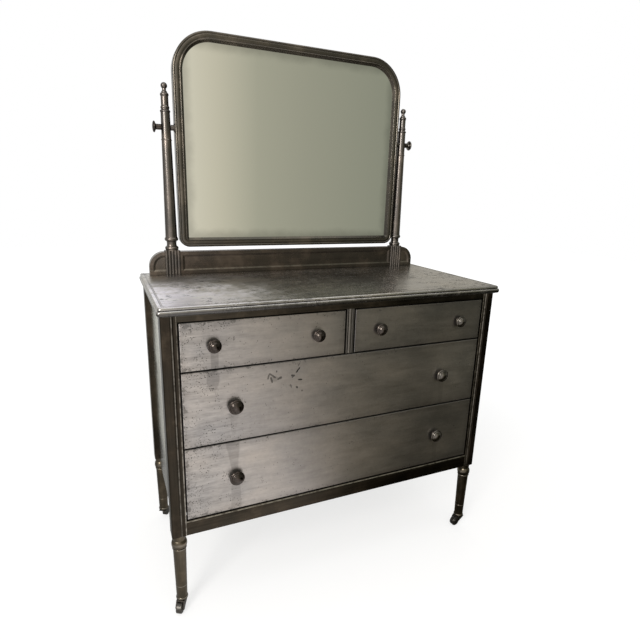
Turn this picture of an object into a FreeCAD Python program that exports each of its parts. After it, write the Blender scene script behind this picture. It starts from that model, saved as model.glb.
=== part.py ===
import FreeCAD, Part
import math
import os
from types import SimpleNamespace

import Sketcher

# Dresser with a tilting mirror, built of formed sheet steel.
# +X is the right-hand side, the drawers face -Y and +Z is up. The origin is the middle of the
# footprint at floor level. All lengths are millimetres and all turns are degrees.

SIZES = {
    # the whole chest
    "top_width": 1067.0,
    "top_depth": 521.0,
    "top_height": 915.0,
    "top_thickness": 24.0,
    "side_overhang": 8.0,
    "front_overhang": 19.0,
    "rear_overhang": 20.0,
    # moulded edge of the top
    "lip_height": 6.8,
    "lip_inset": 3.2,
    "lip_round": 5.0,
    "recess_height": 1.4,
    "recess_inset": 6.0,
    "bead_height": 14.4,
    "bead_round": 5.8,
    "cove_inset": 8.0,
    "plan_round": 9.0,
    "pan_rim": 13.0,
    "pan_sheet": 1.6,
    "line_inset": 13.0,
    "line_width": 2.0,
    "line_sink": 1.0,
    # posts, rails and panels
    "post_size": 41.0,
    "post_wall": 1.6,
    "post_face": 5.0,
    "post_round": 5.0,
    "post_plug": 12.0,
    "bead_one_start": 22.5,
    "bead_one_end": 30.0,
    "bead_two_start": 33.0,
    "bead_sink": 0.8,
    "apron_height": 18.4,
    "apron_setback": 1.5,
    "apron_depth": 22.0,
    "bottom_rail_height": 45.4,
    "bottom_rail_depth": 30.0,
    "rail_bead": 5.0,
    "rail_sink": 1.5,
    "rail_groove": 3.0,
    "rail_groove_sink": 0.5,
    "tube_wall": 1.5,
    "panel_sheet": 1.0,
    "side_recess": 14.0,
    "side_flange": 12.0,
    "side_rail_height": 30.0,
    "side_rail_thickness": 2.5,
    "side_rail_gap": 1.0,
    "back_recess": 2.0,
    "back_rib_rise": 1.6,
    "back_rib_height": 12.0,
    "rear_rail_thickness": 3.8,
    "rear_rail_height": 40.0,
    "stile_width": 25.0,
    "stile_setback": 0.6,
    "stile_sink": 1.8,
    "stile_bead": 6.0,
    "stile_bead_rise": 1.3,
    "stile_groove": 3.0,
    "stile_groove_sink": 0.7,
    "stile_middle_rise": 0.7,
    # drawers
    "drawer_gap": 3.2,
    "drawer_setback": 2.0,
    "small_front_height": 130.7,
    "middle_front_height": 213.7,
    "bottom_front_height": 214.6,
    "front_depth": 20.0,
    "front_sheet": 1.5,
    "front_flange": 3.2,
    "front_round": 2.6,
    "box_sheet": 0.9,
    "box_rear_gap": 33.0,
    "box_rise": 12.0,
    "box_drop": 14.0,
    "cover_inset": 1.0,
    # runners
    "runner_sheet": 1.5,
    "runner_ledge": 16.0,
    "runner_height": 30.0,
    "runner_gap": 0.3,
    "box_side_gap": 1.0,
    "rail_gap": 1.0,
    "divider_depth": 25.0,
    "divider_height": 22.0,
    "hat_height": 25.0,
    "hat_ledge": 15.0,
    # knobs
    "small_knob_diameter": 37.0,
    "wide_knob_diameter": 42.5,
    "knob_reach": 23.0,
    "knob_neck": 15.0,
    "knob_neck_sink": 0.6,
    "knob_neck_low": 4.0,
    "knob_neck_high": 6.0,
    "knob_base": 23.0,
    "knob_base_height": 2.0,
    "knob_rim_low": 8.4,
    "knob_rim_high": 13.6,
    "knob_rim_rise": 1.3,
    "knob_cap_inset": 3.8,
    "knob_cap_low": 14.4,
    "knob_cap_edge": 18.0,
    "knob_cap_rise": 0.9,
    "knob_cap_round": 3.4,
    "small_knob_inset": 85.8,
    "wide_knob_inset": 139.3,
    "wide_knob_drop": 2.5,
    "screw_diameter": 4.0,
    "screw_head": 9.0,
    "screw_head_height": 3.0,
    "screw_bite": 14.0,
    # slopes and small flats that a turner leaves
    "turned_step": 1.0,
    "turned_lip": 2.0,
    "small_bead_rise": 0.8,
    "centre_flat": 2.0,
    # legs
    "leg_bottom_height": 37.0,
    "leg_neck": 35.0,
    "leg_neck_ring_height": 2.5,
    "leg_collar": 43.4,
    "leg_collar_drop": 29.5,
    "leg_collar_height": 26.0,
    "leg_collar_ring": 38.4,
    "leg_collar_ring_height": 3.6,
    "leg_top": 36.4,
    "leg_ankle": 30.4,
    "leg_ring": 31.7,
    "leg_ring_width": 2.4,
    "leg_ring_height": 85.0,
    "leg_ferrule": 32.4,
    "leg_ferrule_height": 9.0,
    "tenon_diameter": 16.0,
    "tenon_gap": 0.2,
    "socket_diameter": 12.0,
    "socket_length": 58.0,
    # casters
    "wheel_diameter": 32.0,
    "wheel_width": 17.0,
    "wheel_gap": 0.8,
    "axle_diameter": 5.0,
    "running_gap": 0.05,
    "caster_trail": 17.0,
    "cheek_thickness": 3.0,
    "crown_thickness": 3.0,
    "crown_gap": 0.3,
    "crown_radius": 14.5,
    "axle_boss": 12.0,
    "fork_drop": 1.0,
    "tread_round": 2.0,
    "wheel_hub": 17.6,
    "wheel_web_edge": 27.5,
    "wheel_dish": 1.3,
    "stem_diameter": 8.0,
    "stem_length": 50.0,
    "turn_front_left": 240.0,
    "turn_front_right": 185.0,
    "turn_rear_left": 60.0,
    "turn_rear_right": 120.0,
    # backboard
    "backboard_reach": 74.0,
    "backboard_height": 75.0,
    "backboard_thickness": 30.0,
    "backboard_lead": 15.0,
    "backboard_shoulder": 25.0,
    "backboard_border": 11.0,
    "backboard_sink": 3.0,
    "backboard_bevel": 7.0,
    "backboard_wall": 2.0,
    "backboard_post_border": 7.0,
    "seat_sink": 1.5,
    "seat_margin": 0.3,
    # uprights that carry the mirror
    "harp_setback": 15.0,
    "harp_base_width": 48.0,
    "harp_base_lead": 1.0,
    "harp_base_back": 12.0,
    "harp_base_height": 79.0,
    "harp_reeds": 5.0,
    "harp_reed_rise": 2.5,
    "harp_base_gap": 0.2,
    "harp_bead": 43.0,
    "harp_bead_height": 10.0,
    "harp_bead_rise": 2.1,
    "harp_neck": 32.0,
    "harp_neck_height": 15.0,
    "harp_neck_sink": 0.9,
    "harp_foot": 37.0,
    "harp_head": 27.5,
    "harp_ring": 31.0,
    "harp_ring_width": 5.0,
    "harp_ring_height": 503.0,
    "harp_shaft_ring_height": 420.0,
    "harp_shaft_ring_width": 2.4,
    "harp_crown": 24.0,
    "harp_crown_bead_height": 8.0,
    "harp_crown_bead_rise": 1.2,
    "harp_cup": 25.5,
    "harp_top_height": 556.0,
    "finial_ball": 19.4,
    "finial_foot": 17.5,
    "finial_foot_height": 2.0,
    "finial_neck_height": 6.0,
    "finial_height": 29.0,
    "finial_stud": 6.0,
    "finial_stud_length": 15.0,
    "harp_bolt": 8.0,
    "harp_bolt_head": 14.0,
    "harp_bolt_head_height": 5.0,
    "harp_bolt_bite": 34.0,
    # mirror
    "pivot_height": 457.0,
    "mirror_width": 807.5,
    "mirror_above_pivot": 283.5,
    "mirror_below_pivot": 367.5,
    "mirror_side_gap": 3.75,
    "mirror_depth": 36.0,
    "mirror_face": 30.0,
    "mirror_rebate": 24.0,
    "mirror_top_round": 120.0,
    "mirror_bottom_round": 32.0,
    "mirror_sheet": 1.8,
    "mirror_edge_width": 6.6,
    "mirror_edge_round": 1.6,
    "mirror_edge_drop": 5.0,
    "mirror_band_start": 7.8,
    "mirror_band_end": 19.5,
    "mirror_band_sink": 2.6,
    "mirror_band_rise": 1.0,
    "mirror_bead_start": 20.1,
    "mirror_bead_end": 24.9,
    "mirror_crest": 2.2,
    "mirror_slope_start": 25.5,
    "mirror_slope_sink": 3.2,
    "mirror_lip": 1.5,
    "glass_front_sink": 11.5,
    "glass_thickness": 4.0,
    "glass_gap": 0.5,
    "back_pan_sheet": 0.8,
    "clip_length": 34.0,
    "clip_width": 16.0,
    "clip_thickness": 1.5,
    "clip_screw": 7.0,
    "clip_screw_rise": 1.8,
    "clip_screw_offset": 8.5,
    "clip_side_inset": 222.0,
    "clip_low_drop": 202.0,
    "clip_high_rise": 57.0,
    # pivots and thumb screws
    "pivot_stud": 8.0,
    "pivot_spacer": 17.0,
    "pivot_plate": 26.0,
    "pivot_plate_thickness": 2.0,
    "pivot_plate_slope": 1.0,
    "pivot_post_gap": 0.3,
    "thumb_length": 26.0,
    "thumb_shank": 17.0,
    "thumb_disc": 34.0,
    "thumb_disc_thickness": 9.5,
    "thumb_rim_rise": 1.5,
    "thumb_face_inset": 1.7,
    "thumb_neck_sink": 0.6,
    "thumb_bore_depth": 20.0,
    "pivot_end_gap": 2.0,
}

# How far a quarter arc stands out from its chord, as a share of its radius
QUARTER_RISE = 1.0 - math.sqrt(0.5)
# A ball meets its neck on a 3-4-5 triangle: this far out, this far below its middle, and with this
# rise of the arc from there to its widest part
BALL_OUT, BALL_DOWN, BALL_RISE = 0.6, 0.8, 1.0 - 2.0 / math.sqrt(5.0)
# A flat dome stands out from its chord by about this share of its height
DOME_SHARE = 0.25
# The round under a fork's axle is a little flatter than a half circle: its depth by its half width
BOSS_SHARE = 0.8
# Edges within this distance of a height or a plane lie on it
TOUCHES = 0.01

doc = FreeCAD.newDocument("dresser_with_mirror")
sheet = doc.addObject("Spreadsheet::Sheet", "Sizes")
for row, (alias, value) in enumerate(SIZES.items(), 1):
    sheet.set(f"A{row}", alias)
    sheet.set(f"B{row}", str(value))
    sheet.setAlias(f"B{row}", alias)
doc.recompute()


class Dim:
    """A length kept both as a number and as the expression on the sheet that gives it."""

    def __init__(self, number, text):
        self.number = number
        self.text = text

    def __add__(self, other):
        other = dim(other)
        return Dim(self.number + other.number, f"({self.text} + {other.text})")

    def __sub__(self, other):
        other = dim(other)
        return Dim(self.number - other.number, f"({self.text} - {other.text})")

    def __mul__(self, other):
        other = dim(other)
        return Dim(self.number * other.number, f"({self.text} * {other.text})")

    def __truediv__(self, other):
        other = dim(other)
        return Dim(self.number / other.number, f"({self.text} / {other.text})")

    def __neg__(self):
        return Dim(-self.number, f"(0 - {self.text})")

    def __rsub__(self, other):
        return dim(other) - self

    __radd__ = __add__
    __rmul__ = __mul__


def dim(value):
    """A plain number as a Dim; a Dim stays as it is."""
    if isinstance(value, Dim):
        return value
    return Dim(float(value), f"({value:.10f})")


size = SimpleNamespace(**{alias: Dim(value, f"Sizes.{alias}") for alias, value in SIZES.items()})
nodes = []


def bind(thing, prop, value):
    """Give a property the expression of a Dim."""
    thing.setExpression(prop, dim(value).text)


def place(thing, x, y, z, rotation=None):
    """Put an object at three Dims, turned by an optional rotation."""
    thing.Placement = FreeCAD.Placement(FreeCAD.Vector(), rotation or FreeCAD.Rotation())
    for axis, value in zip("xyz", (x, y, z)):
        bind(thing, f"Placement.Base.{axis}", value)


def keep(thing):
    """Add an object to the pieces that are written out."""
    nodes.append(thing)
    return thing


def new_body(label, x=0, y=0, z=0, rotation=None):
    body = doc.addObject("PartDesign::Body", label)
    body.Label = label
    place(body, x, y, z, rotation)
    return body


def new_sketch(body, plane, rise=None):
    """A sketch on one of the body's origin planes, raised along its normal if asked."""
    sketch = body.newObject("Sketcher::SketchObject", f"{body.Name}_sketch")
    support = next(part for part in body.Origin.OriginFeatures if part.Role == plane)
    sketch.AttachmentSupport = [(support, "")]
    sketch.MapMode = "FlatFace"
    if rise is not None:
        bind(sketch, "AttachmentOffset.Base.z", rise)
    return sketch


def constrain(sketch, kind, value, *where):
    number = sketch.addConstraint(Sketcher.Constraint(kind, *where, value.number))
    sketch.setExpression(f"Constraints[{number}]", value.text)


def draw(sketch, points, mirrored=False):
    """Draw a closed outline, anticlockwise: (u, v) is a corner, and (u, v, rise) a corner that an
    arc leads away from, standing out from its chord by rise, or sinking in if that is negative."""
    corners = [(dim(p[0]), dim(p[1])) for p in points]
    rises = [dim(p[2]) if len(p) > 2 else None for p in points]
    if mirrored:
        corners = [(-u, v) for u, v in corners]
        rises = [None if rise is None else -rise for rise in rises]
    start_ends = []
    first = sketch.GeometryCount
    for index, (corner, rise) in enumerate(zip(corners, rises)):
        target = corners[(index + 1) % len(corners)]
        begin = FreeCAD.Vector(corner[0].number, corner[1].number, 0)
        end = FreeCAD.Vector(target[0].number, target[1].number, 0)
        if rise is None:
            number = sketch.addGeometry(Part.LineSegment(begin, end), False)
        else:
            across = (end - begin).normalize()
            outward = FreeCAD.Vector(across.y, -across.x, 0) * rise.number
            middle = (begin + end) * 0.5 + outward
            number = sketch.addGeometry(Part.Arc(begin, middle, end), False)
        forward = (sketch.getPoint(number, 1) - begin).Length < (sketch.getPoint(number, 2) - begin).Length
        start_ends.append((1, 2) if forward else (2, 1))
    for index in range(len(corners)):
        after = (index + 1) % len(corners)
        sketch.addConstraint(Sketcher.Constraint(
            "Coincident", first + index, start_ends[index][1], first + after, start_ends[after][0]))
    for index, (corner, rise) in enumerate(zip(corners, rises)):
        point = (first + index, start_ends[index][0])
        constrain(sketch, "DistanceX", corner[0], -1, 1, *point)
        constrain(sketch, "DistanceY", corner[1], -1, 1, *point)
        if rise is not None:
            target = corners[(index + 1) % len(corners)]
            across, up = target[0] - corner[0], target[1] - corner[1]
            depth = rise if rise.number > 0 else -rise
            chord_share = (across * across + up * up) / 4
            radius = (chord_share + depth * depth) / (depth * 2)
            constrain(sketch, "Radius", radius, first + index)


def draw_circle(sketch, u, v, radius):
    u, v, radius = dim(u), dim(v), dim(radius)
    centre = FreeCAD.Vector(u.number, v.number, 0)
    circle = Part.Circle(centre, FreeCAD.Vector(0, 0, 1), radius.number)
    number = sketch.addGeometry(circle, False)
    constrain(sketch, "DistanceX", u, -1, 1, number, 3)
    constrain(sketch, "DistanceY", v, -1, 1, number, 3)
    constrain(sketch, "Radius", radius, number)


def rectangle(left, right, low, high):
    return [(left, low), (right, low), (right, high), (left, high)]


def pad(body, sketch, length, centred=False):
    feature = body.newObject("PartDesign::Pad", f"{body.Name}_pad")
    feature.Profile = (sketch, [""])
    bind(feature, "Length", length)
    if centred:
        feature.SideType = "Symmetric"
    sketch.Visibility = False
    return feature


def cut(body, sketch, depth=None, reverse=False, centred=False):
    """Cut a sketch out of the body, through everything unless a depth is given."""
    doc.recompute()
    before = body.Shape.Volume
    feature = body.newObject("PartDesign::Pocket", f"{body.Name}_cut")
    feature.Profile = (sketch, [""])
    if centred:
        feature.SideType = "Symmetric"
    feature.Reversed = reverse
    if depth is None:
        feature.Type = "ThroughAll"
    else:
        bind(feature, "Length", depth)
    doc.recompute()
    if not body.Shape.Volume < before:
        raise RuntimeError(f"{feature.Label} removes nothing")
    return feature


def fillet(body, radius, chosen):
    """Round the edges of the body's last feature for which chosen(edge) is true."""
    doc.recompute()
    tip = body.Tip
    names = [f"Edge{n}" for n, edge in enumerate(tip.Shape.Edges, 1) if chosen(edge)]
    feature = body.newObject("PartDesign::Fillet", f"{body.Name}_fillet")
    feature.Base = (tip, names)
    bind(feature, "Radius", radius)
    doc.recompute()
    return feature


def turned(label, profile, x=0, y=0, z=0, rotation=None):
    """A turned piece: the profile is (radius, height) round the local Z axis."""
    body = new_body(label, x, y, z, rotation)
    spin(body, profile)
    return body


def spin(body, profile):
    sketch = new_sketch(body, "XZ_Plane")
    draw(sketch, profile)
    feature = body.newObject("PartDesign::Revolution", f"{body.Name}_turning")
    feature.Profile = (sketch, [""])
    feature.ReferenceAxis = (sketch, ["V_Axis"])
    feature.Angle = 360.0


def block(label, x, y, z):
    """A flat-sided piece between low and high ends along each axis."""
    box = doc.addObject("Part::Box", label)
    box.Label = label
    for prop, (low, high) in zip(("Length", "Width", "Height"), (x, y, z)):
        bind(box, prop, dim(high) - dim(low))
    place(box, x[0], y[0], z[0])
    return box


def rod(label, radius, length, x, y, z, rotation=None):
    cylinder = doc.addObject("Part::Cylinder", label)
    cylinder.Label = label
    bind(cylinder, "Radius", radius)
    bind(cylinder, "Height", length)
    place(cylinder, x, y, z, rotation)
    return cylinder


def group(label, members):
    """Several pieces that share one node."""
    compound = doc.addObject("Part::Compound", label)
    compound.Label = label
    compound.Links = members
    return keep(compound)


def bead(radius, low, high, rise):
    """Two corners of a turned profile, joined by a bead that stands out from the radius by rise."""
    return [(radius, low, rise), (radius, high)]


def dome(radius, low, high):
    """The shallow dome that ends a turned profile, with a small flat at its middle."""
    return [(radius, low, (high - low) * DOME_SHARE), (size.centre_flat / 2, high), (0, high)]


TO_FRONT = FreeCAD.Rotation(FreeCAD.Vector(1, 0, 0), 90)
SIDES = (("left", -1), ("right", 1))

# Planes and heights that the pieces share
half_top = size.top_width / 2
side_x = half_top - size.side_overhang
post_in = side_x - size.post_size
carcass_depth = size.top_depth - size.front_overhang - size.rear_overhang
knob_proud = size.knob_reach - size.drawer_setback
whole_depth = knob_proud + carcass_depth + size.rear_overhang
front_y = knob_proud - whole_depth / 2
back_y = front_y + carcass_depth
top_z = size.top_height
slab_z = top_z - size.top_thickness
opening_top = slab_z - size.apron_height
small_top = opening_top - size.drawer_gap
small_bottom = small_top - size.small_front_height
middle_top = small_bottom - size.drawer_gap
middle_bottom = middle_top - size.middle_front_height
bottom_top = middle_bottom - size.drawer_gap
bottom_bottom = bottom_top - size.bottom_front_height
opening_bottom = bottom_bottom - size.drawer_gap
foot_z = opening_bottom - size.bottom_rail_height

face_y = front_y + size.drawer_setback
front_back_y = face_y + size.front_depth
cover_y = front_back_y + size.box_sheet
rail_y = cover_y + size.rail_gap
back_panel_y = back_y - size.back_recess - size.panel_sheet
rear_rail_y = back_panel_y - size.rear_rail_thickness
box_back_y = rear_rail_y - size.box_rear_gap
harp_x = size.mirror_width / 2 + size.mirror_side_gap + size.harp_bead / 2
backboard_half = harp_x + size.backboard_reach
harp_y = back_y - size.harp_setback
backboard_front_y = harp_y - size.backboard_lead
backboard_back_y = backboard_front_y + size.backboard_thickness
harp_base_front = -size.backboard_lead - size.harp_base_lead
harp_base_clear = size.harp_base_width / 2 + size.harp_base_gap
harp_foot_height = (size.harp_base_height + size.harp_bead_height * 2 + size.harp_neck_height
                    + size.turned_lip * 4)
seat_z = top_z - size.seat_sink


def top_outline(inset):
    """The top seen from above, less an inset at the front and both sides."""
    r = size.plan_round
    reach = half_top - inset
    return [
        (-reach, size.top_depth),
        (-reach, inset + r, r * QUARTER_RISE),
        (r - reach, inset),
        (reach - r, inset, r * QUARTER_RISE),
        (reach, inset + r),
        (reach, size.top_depth),
    ]


def make_top():
    slab_front = front_y - size.front_overhang
    body = new_body("top_panel", 0, slab_front, slab_z)
    recess_z = size.top_thickness - size.lip_height - size.recess_height
    bead_z = recess_z - size.bead_height
    layers = (
        (size.cove_inset, dim(0), bead_z),
        (dim(0), bead_z, size.bead_height),
        (size.recess_inset, recess_z, size.recess_height),
        (size.lip_inset, recess_z + size.recess_height, size.lip_height),
    )
    for inset, low, height in layers:
        sketch = new_sketch(body, "XY_Plane", low)
        draw(sketch, top_outline(inset))
        pad(body, sketch, height)

    def runs_round(edge, height, inset):
        """Whether an edge goes round the front and sides at a height, within an inset."""
        box = edge.BoundBox
        if box.ZLength > TOUCHES or box.YMin > size.top_depth.number - TOUCHES:
            return False
        middle = edge.valueAt((edge.FirstParameter + edge.LastParameter) / 2)
        outer = min(half_top.number - abs(middle.x), middle.y) < inset.number
        return outer and abs(middle.z - height.number) < TOUCHES

    fillet(body, size.bead_round, lambda edge: runs_round(edge, bead_z, size.lip_inset)
           or runs_round(edge, recess_z, size.lip_inset))
    fillet(body, size.lip_round, lambda edge: runs_round(edge, size.top_thickness, size.line_inset))

    core = rectangle(
        size.pan_rim - half_top, half_top - size.pan_rim,
        size.pan_rim, size.top_depth - size.pan_rim)
    sketch = new_sketch(body, "XY_Plane")
    draw(sketch, core)
    cut(body, sketch, size.top_thickness - size.pan_sheet, reverse=True)

    sketch = new_sketch(body, "XY_Plane", size.top_thickness)
    draw(sketch, top_outline(size.lip_inset + size.line_inset))
    draw(sketch, top_outline_closed(size.lip_inset + size.line_inset + size.line_width))
    cut(body, sketch, size.line_sink)

    harp_v = harp_y - slab_front
    seat_half = backboard_half + size.seat_margin
    seat_front = backboard_front_y - slab_front - size.seat_margin
    seat_back = backboard_back_y - slab_front + size.seat_margin
    sketch = new_sketch(body, "XY_Plane", size.top_thickness)
    draw(sketch, rectangle(-seat_half, seat_half, seat_front, seat_back))
    cut(body, sketch, size.seat_sink)
    sketch = new_sketch(body, "XY_Plane", size.top_thickness)
    base_front = harp_v + harp_base_front - size.harp_reed_rise - size.harp_base_gap
    for sign in (-1, 1):
        draw(sketch, rectangle(harp_x * sign - harp_base_clear, harp_x * sign + harp_base_clear,
                               base_front, harp_v + size.harp_base_back + size.harp_base_gap))
    cut(body, sketch, size.seat_sink)

    sketch = new_sketch(body, "XY_Plane")
    for sign in (-1, 1):
        draw_circle(sketch, harp_x * sign, harp_v, size.harp_bolt / 2 + size.harp_base_gap)
    cut(body, sketch, reverse=True)
    keep(body)

    board = new_body("top_core_board", 0, slab_front, slab_z)
    sketch = new_sketch(board, "XY_Plane")
    draw(sketch, core)
    for sign in (-1, 1):
        draw_circle(sketch, harp_x * sign, harp_v, size.harp_bolt / 2 + size.harp_base_gap)
    pad(board, sketch, size.top_thickness - size.pan_sheet)
    keep(board)


def top_outline_closed(inset):
    """The inner edge of the fine line round the top, which ends short of the rear."""
    outline = top_outline(inset)
    rear = size.top_depth - size.line_width
    return [(outline[0][0], rear)] + outline[1:5] + [(outline[5][0], rear)]


def post_profile(beaded):
    """A post seen from above: u runs inwards from its outer side, v back from its face."""
    r = size.post_round
    w = size.post_size
    sink = size.bead_sink
    one, one_end, two = size.bead_one_start, size.bead_one_end, size.bead_two_start
    groove = (one_end - one) / 3
    outline = [(0, r, r * QUARTER_RISE), (r, 0)]
    if beaded:
        outline += [
            (one, 0, -sink), (one + groove, sink, sink), (one_end, sink, -sink), (two, sink, sink),
            (w, sink)]
    else:
        outline += [(w, 0)]
    return outline + [(w, w), (0, w)]


def make_posts():
    height = slab_z - foot_z
    w = size.post_size
    for end, depth_sign, y in (("front", 1, front_y), ("rear", -1, back_y)):
        for side, sign in SIDES:
            body = new_body(f"{end}_{side}_post", side_x * sign, y, foot_z)
            beaded = end == "front"
            hollow = rectangle(size.post_wall, w - size.post_wall, size.post_face, w - size.post_wall)
            outline = post_profile(beaded)
            if depth_sign < 0:
                outline = turn_over(outline)
                hollow = rectangle(size.post_wall, w - size.post_wall,
                                   size.post_wall - w, -size.post_face)
            sketch = new_sketch(body, "XY_Plane")
            draw(sketch, outline, mirrored=sign > 0)
            draw(sketch, hollow, mirrored=sign > 0)
            pad(body, sketch, height)
            sketch = new_sketch(body, "XY_Plane")
            draw(sketch, hollow, mirrored=sign > 0)
            draw_circle(sketch, w / 2 * -sign, w / 2 * depth_sign, size.tenon_diameter / 2)
            pad(body, sketch, size.post_plug)
            keep(body)


def turn_over(outline):
    """The same outline mirrored front to back, still anticlockwise."""
    corners = [(p[0], -dim(p[1])) for p in outline]
    rises = [p[2] if len(p) > 2 else None for p in outline]
    flipped = []
    for index in range(len(corners) - 1, -1, -1):
        rise = rises[index - 1]
        flipped.append(corners[index] if rise is None else corners[index] + (rise,))
    return flipped


def make_sides():
    length = carcass_depth - size.post_size * 2
    t, flange = size.panel_sheet, size.side_flange
    outer_x = side_x - size.side_recess
    panel_start = front_y + size.post_size
    rail_x = outer_x - flange - size.side_rail_gap
    rails = []
    for side, sign in SIDES:
        body = new_body(f"{side}_side_panel", outer_x * sign, panel_start, foot_z)
        sketch = new_sketch(body, "XY_Plane")
        outline = [(0, 0), (flange, 0), (flange, t), (t, t), (t, length - t),
                   (flange, length - t), (flange, length), (0, length)]
        draw(sketch, outline, mirrored=sign > 0)
        pad(body, sketch, slab_z - foot_z)
        keep(body)
        inner, outer = (rail_x - size.side_rail_thickness) * sign, rail_x * sign
        across = (inner, outer) if sign > 0 else (outer, inner)
        along = (panel_start, panel_start + length)
        for name, low in (("top", slab_z - size.side_rail_height), ("bottom", foot_z)):
            rails.append(block(f"{side}_{name}_side_rail", across, along,
                               (low, low + size.side_rail_height)))
    group("side_rails", rails)


def make_back():
    height = slab_z - foot_z
    t, rib = size.panel_sheet, size.back_rib_rise
    rib_half = size.back_rib_height / 2
    body = new_body("back_panel", -post_in, back_panel_y, foot_z)
    outline = [(0, 0), (t, 0)]
    inner = []
    for share in (1 / 3, 2 / 3):
        middle = height * share
        outline += [(t, middle - rib_half, rib), (t, middle + rib_half)]
        inner = [(0, middle + rib_half, -rib), (0, middle - rib_half)] + inner
    outline += [(t, height), (0, height)] + inner
    sketch = new_sketch(body, "YZ_Plane")
    draw(sketch, outline)
    pad(body, sketch, post_in * 2)
    keep(body)

    runner_under = small_bottom + size.box_rise - size.runner_gap - size.runner_sheet
    rails = []
    levels = (("top", slab_z), ("middle", runner_under), ("bottom", foot_z + size.rear_rail_height))
    for name, high in levels:
        rails.append(block(f"{name}_rear_rail", (-post_in, post_in), (rear_rail_y, back_panel_y),
                           (high - size.rear_rail_height, high)))
    group("rear_rails", rails)


def make_front_rails():
    wall = size.tube_wall
    depth, height = size.apron_depth, size.apron_height
    body = new_body("apron_rail", -post_in, front_y + size.apron_setback, opening_top)
    sketch = new_sketch(body, "YZ_Plane")
    draw(sketch, rectangle(0, depth, 0, height))
    draw(sketch, rectangle(wall, depth - wall, wall, height - wall))
    pad(body, sketch, post_in * 2)
    keep(body)

    depth, height, bead_ = size.bottom_rail_depth, size.bottom_rail_height, size.rail_bead
    sink = size.rail_sink
    flat = height - bead_ - sink
    body = new_body("bottom_front_rail", -post_in, front_y, foot_z)
    sketch = new_sketch(body, "YZ_Plane")
    draw(sketch, [
        (sink, 0), (depth, 0), (depth, height), (bead_, height, bead_ * QUARTER_RISE),
        (0, height - bead_, sink * QUARTER_RISE), (sink, flat, -size.rail_groove_sink),
        (sink, flat - size.rail_groove)])
    draw(sketch, rectangle(bead_, depth - wall, wall, height - bead_ - wall))
    pad(body, sketch, post_in * 2)
    keep(body)

    depth = rail_y - front_y - size.stile_setback
    half, sink = size.stile_width / 2, size.stile_sink
    side = half - size.stile_bead
    middle = side - size.stile_groove
    body = new_body("centre_stile", 0, front_y + size.stile_setback, small_bottom)
    sketch = new_sketch(body, "XY_Plane")
    draw(sketch, [
        (-half, sink, size.stile_bead_rise), (-side, sink, -size.stile_groove_sink),
        (-middle, sink, size.stile_middle_rise), (middle, sink, -size.stile_groove_sink),
        (side, sink, size.stile_bead_rise), (half, sink), (half, depth), (-half, depth)])
    draw(sketch, rectangle(wall - half, half - wall, sink + size.stile_groove_sink + wall, depth - wall))
    pad(body, sketch, opening_top - small_bottom)
    keep(body)

    rails = []
    for name, above in (("upper", small_bottom), ("lower", middle_bottom)):
        high = above + size.box_rise - size.runner_gap - size.runner_sheet
        rail = new_body(f"{name}_divider_rail", -post_in, rail_y, high - size.divider_height)
        sketch = new_sketch(rail, "YZ_Plane")
        draw(sketch, rectangle(0, size.divider_depth, 0, size.divider_height))
        draw(sketch, rectangle(wall, size.divider_depth - wall, wall, size.divider_height - wall))
        pad(rail, sketch, post_in * 2)
        rails.append(rail)
    group("divider_rails", rails)


def make_runners():
    t, ledge, height = size.runner_sheet, size.runner_ledge, size.runner_height
    length = rear_rail_y - rail_y
    runners = []
    for row, above in (("small", small_bottom), ("middle", middle_bottom), ("bottom", bottom_bottom)):
        low = above + size.box_rise - size.runner_gap - t
        for side, sign in SIDES:
            body = new_body(f"{side}_{row}_runner", post_in * sign, rear_rail_y, low)
            sketch = new_sketch(body, "XZ_Plane")
            outline = [(0, 0), (ledge, 0), (ledge, t), (t, t), (t, height), (0, height)]
            draw(sketch, outline, mirrored=sign > 0)
            pad(body, sketch, length)
            runners.append(body)
    group("side_runners", runners)

    low = small_bottom + size.box_rise - size.runner_gap - t
    rib = size.stile_width / 2 + size.drawer_gap - size.box_side_gap
    wide, tall = rib + size.hat_ledge, size.hat_height
    body = new_body("centre_runner", 0, back_panel_y, low)
    sketch = new_sketch(body, "XZ_Plane")
    draw(sketch, [
        (-wide, 0), (t - rib, 0), (t - rib, tall - t), (rib - t, tall - t), (rib - t, 0), (wide, 0),
        (wide, t), (rib, t), (rib, tall), (-rib, tall), (-rib, t), (-wide, t)])
    pad(body, sketch, back_panel_y - rail_y)
    keep(body)


def knob_profile(diameter):
    """Half of a turned knob: a flared base, a neck, a beaded rim and a domed cap."""
    rim = diameter / 2
    cap = rim - size.knob_cap_inset
    base, neck = size.knob_base / 2, size.knob_neck / 2
    grip = size.screw_diameter / 2
    return [
        (grip, 0), (base, 0), (base, size.knob_base_height),
        (neck, size.knob_neck_low, -size.knob_neck_sink), (neck, size.knob_neck_high),
        *bead(rim - size.knob_rim_rise, size.knob_rim_low, size.knob_rim_high, size.knob_rim_rise),
        (cap, size.knob_cap_low, size.knob_cap_rise), (cap - size.knob_cap_round, size.knob_cap_edge,
                                                       (size.knob_reach - size.knob_cap_edge) * DOME_SHARE),
        (size.centre_flat / 2, size.knob_reach), (0, size.knob_reach), (0, size.screw_bite),
        (grip, size.screw_bite)]


def screw_profile(head, head_height, shank, length):
    return [(0, 0), (head / 2, 0), (head / 2, head_height), (shank / 2, head_height),
            (shank / 2, length), (0, length)]


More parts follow.
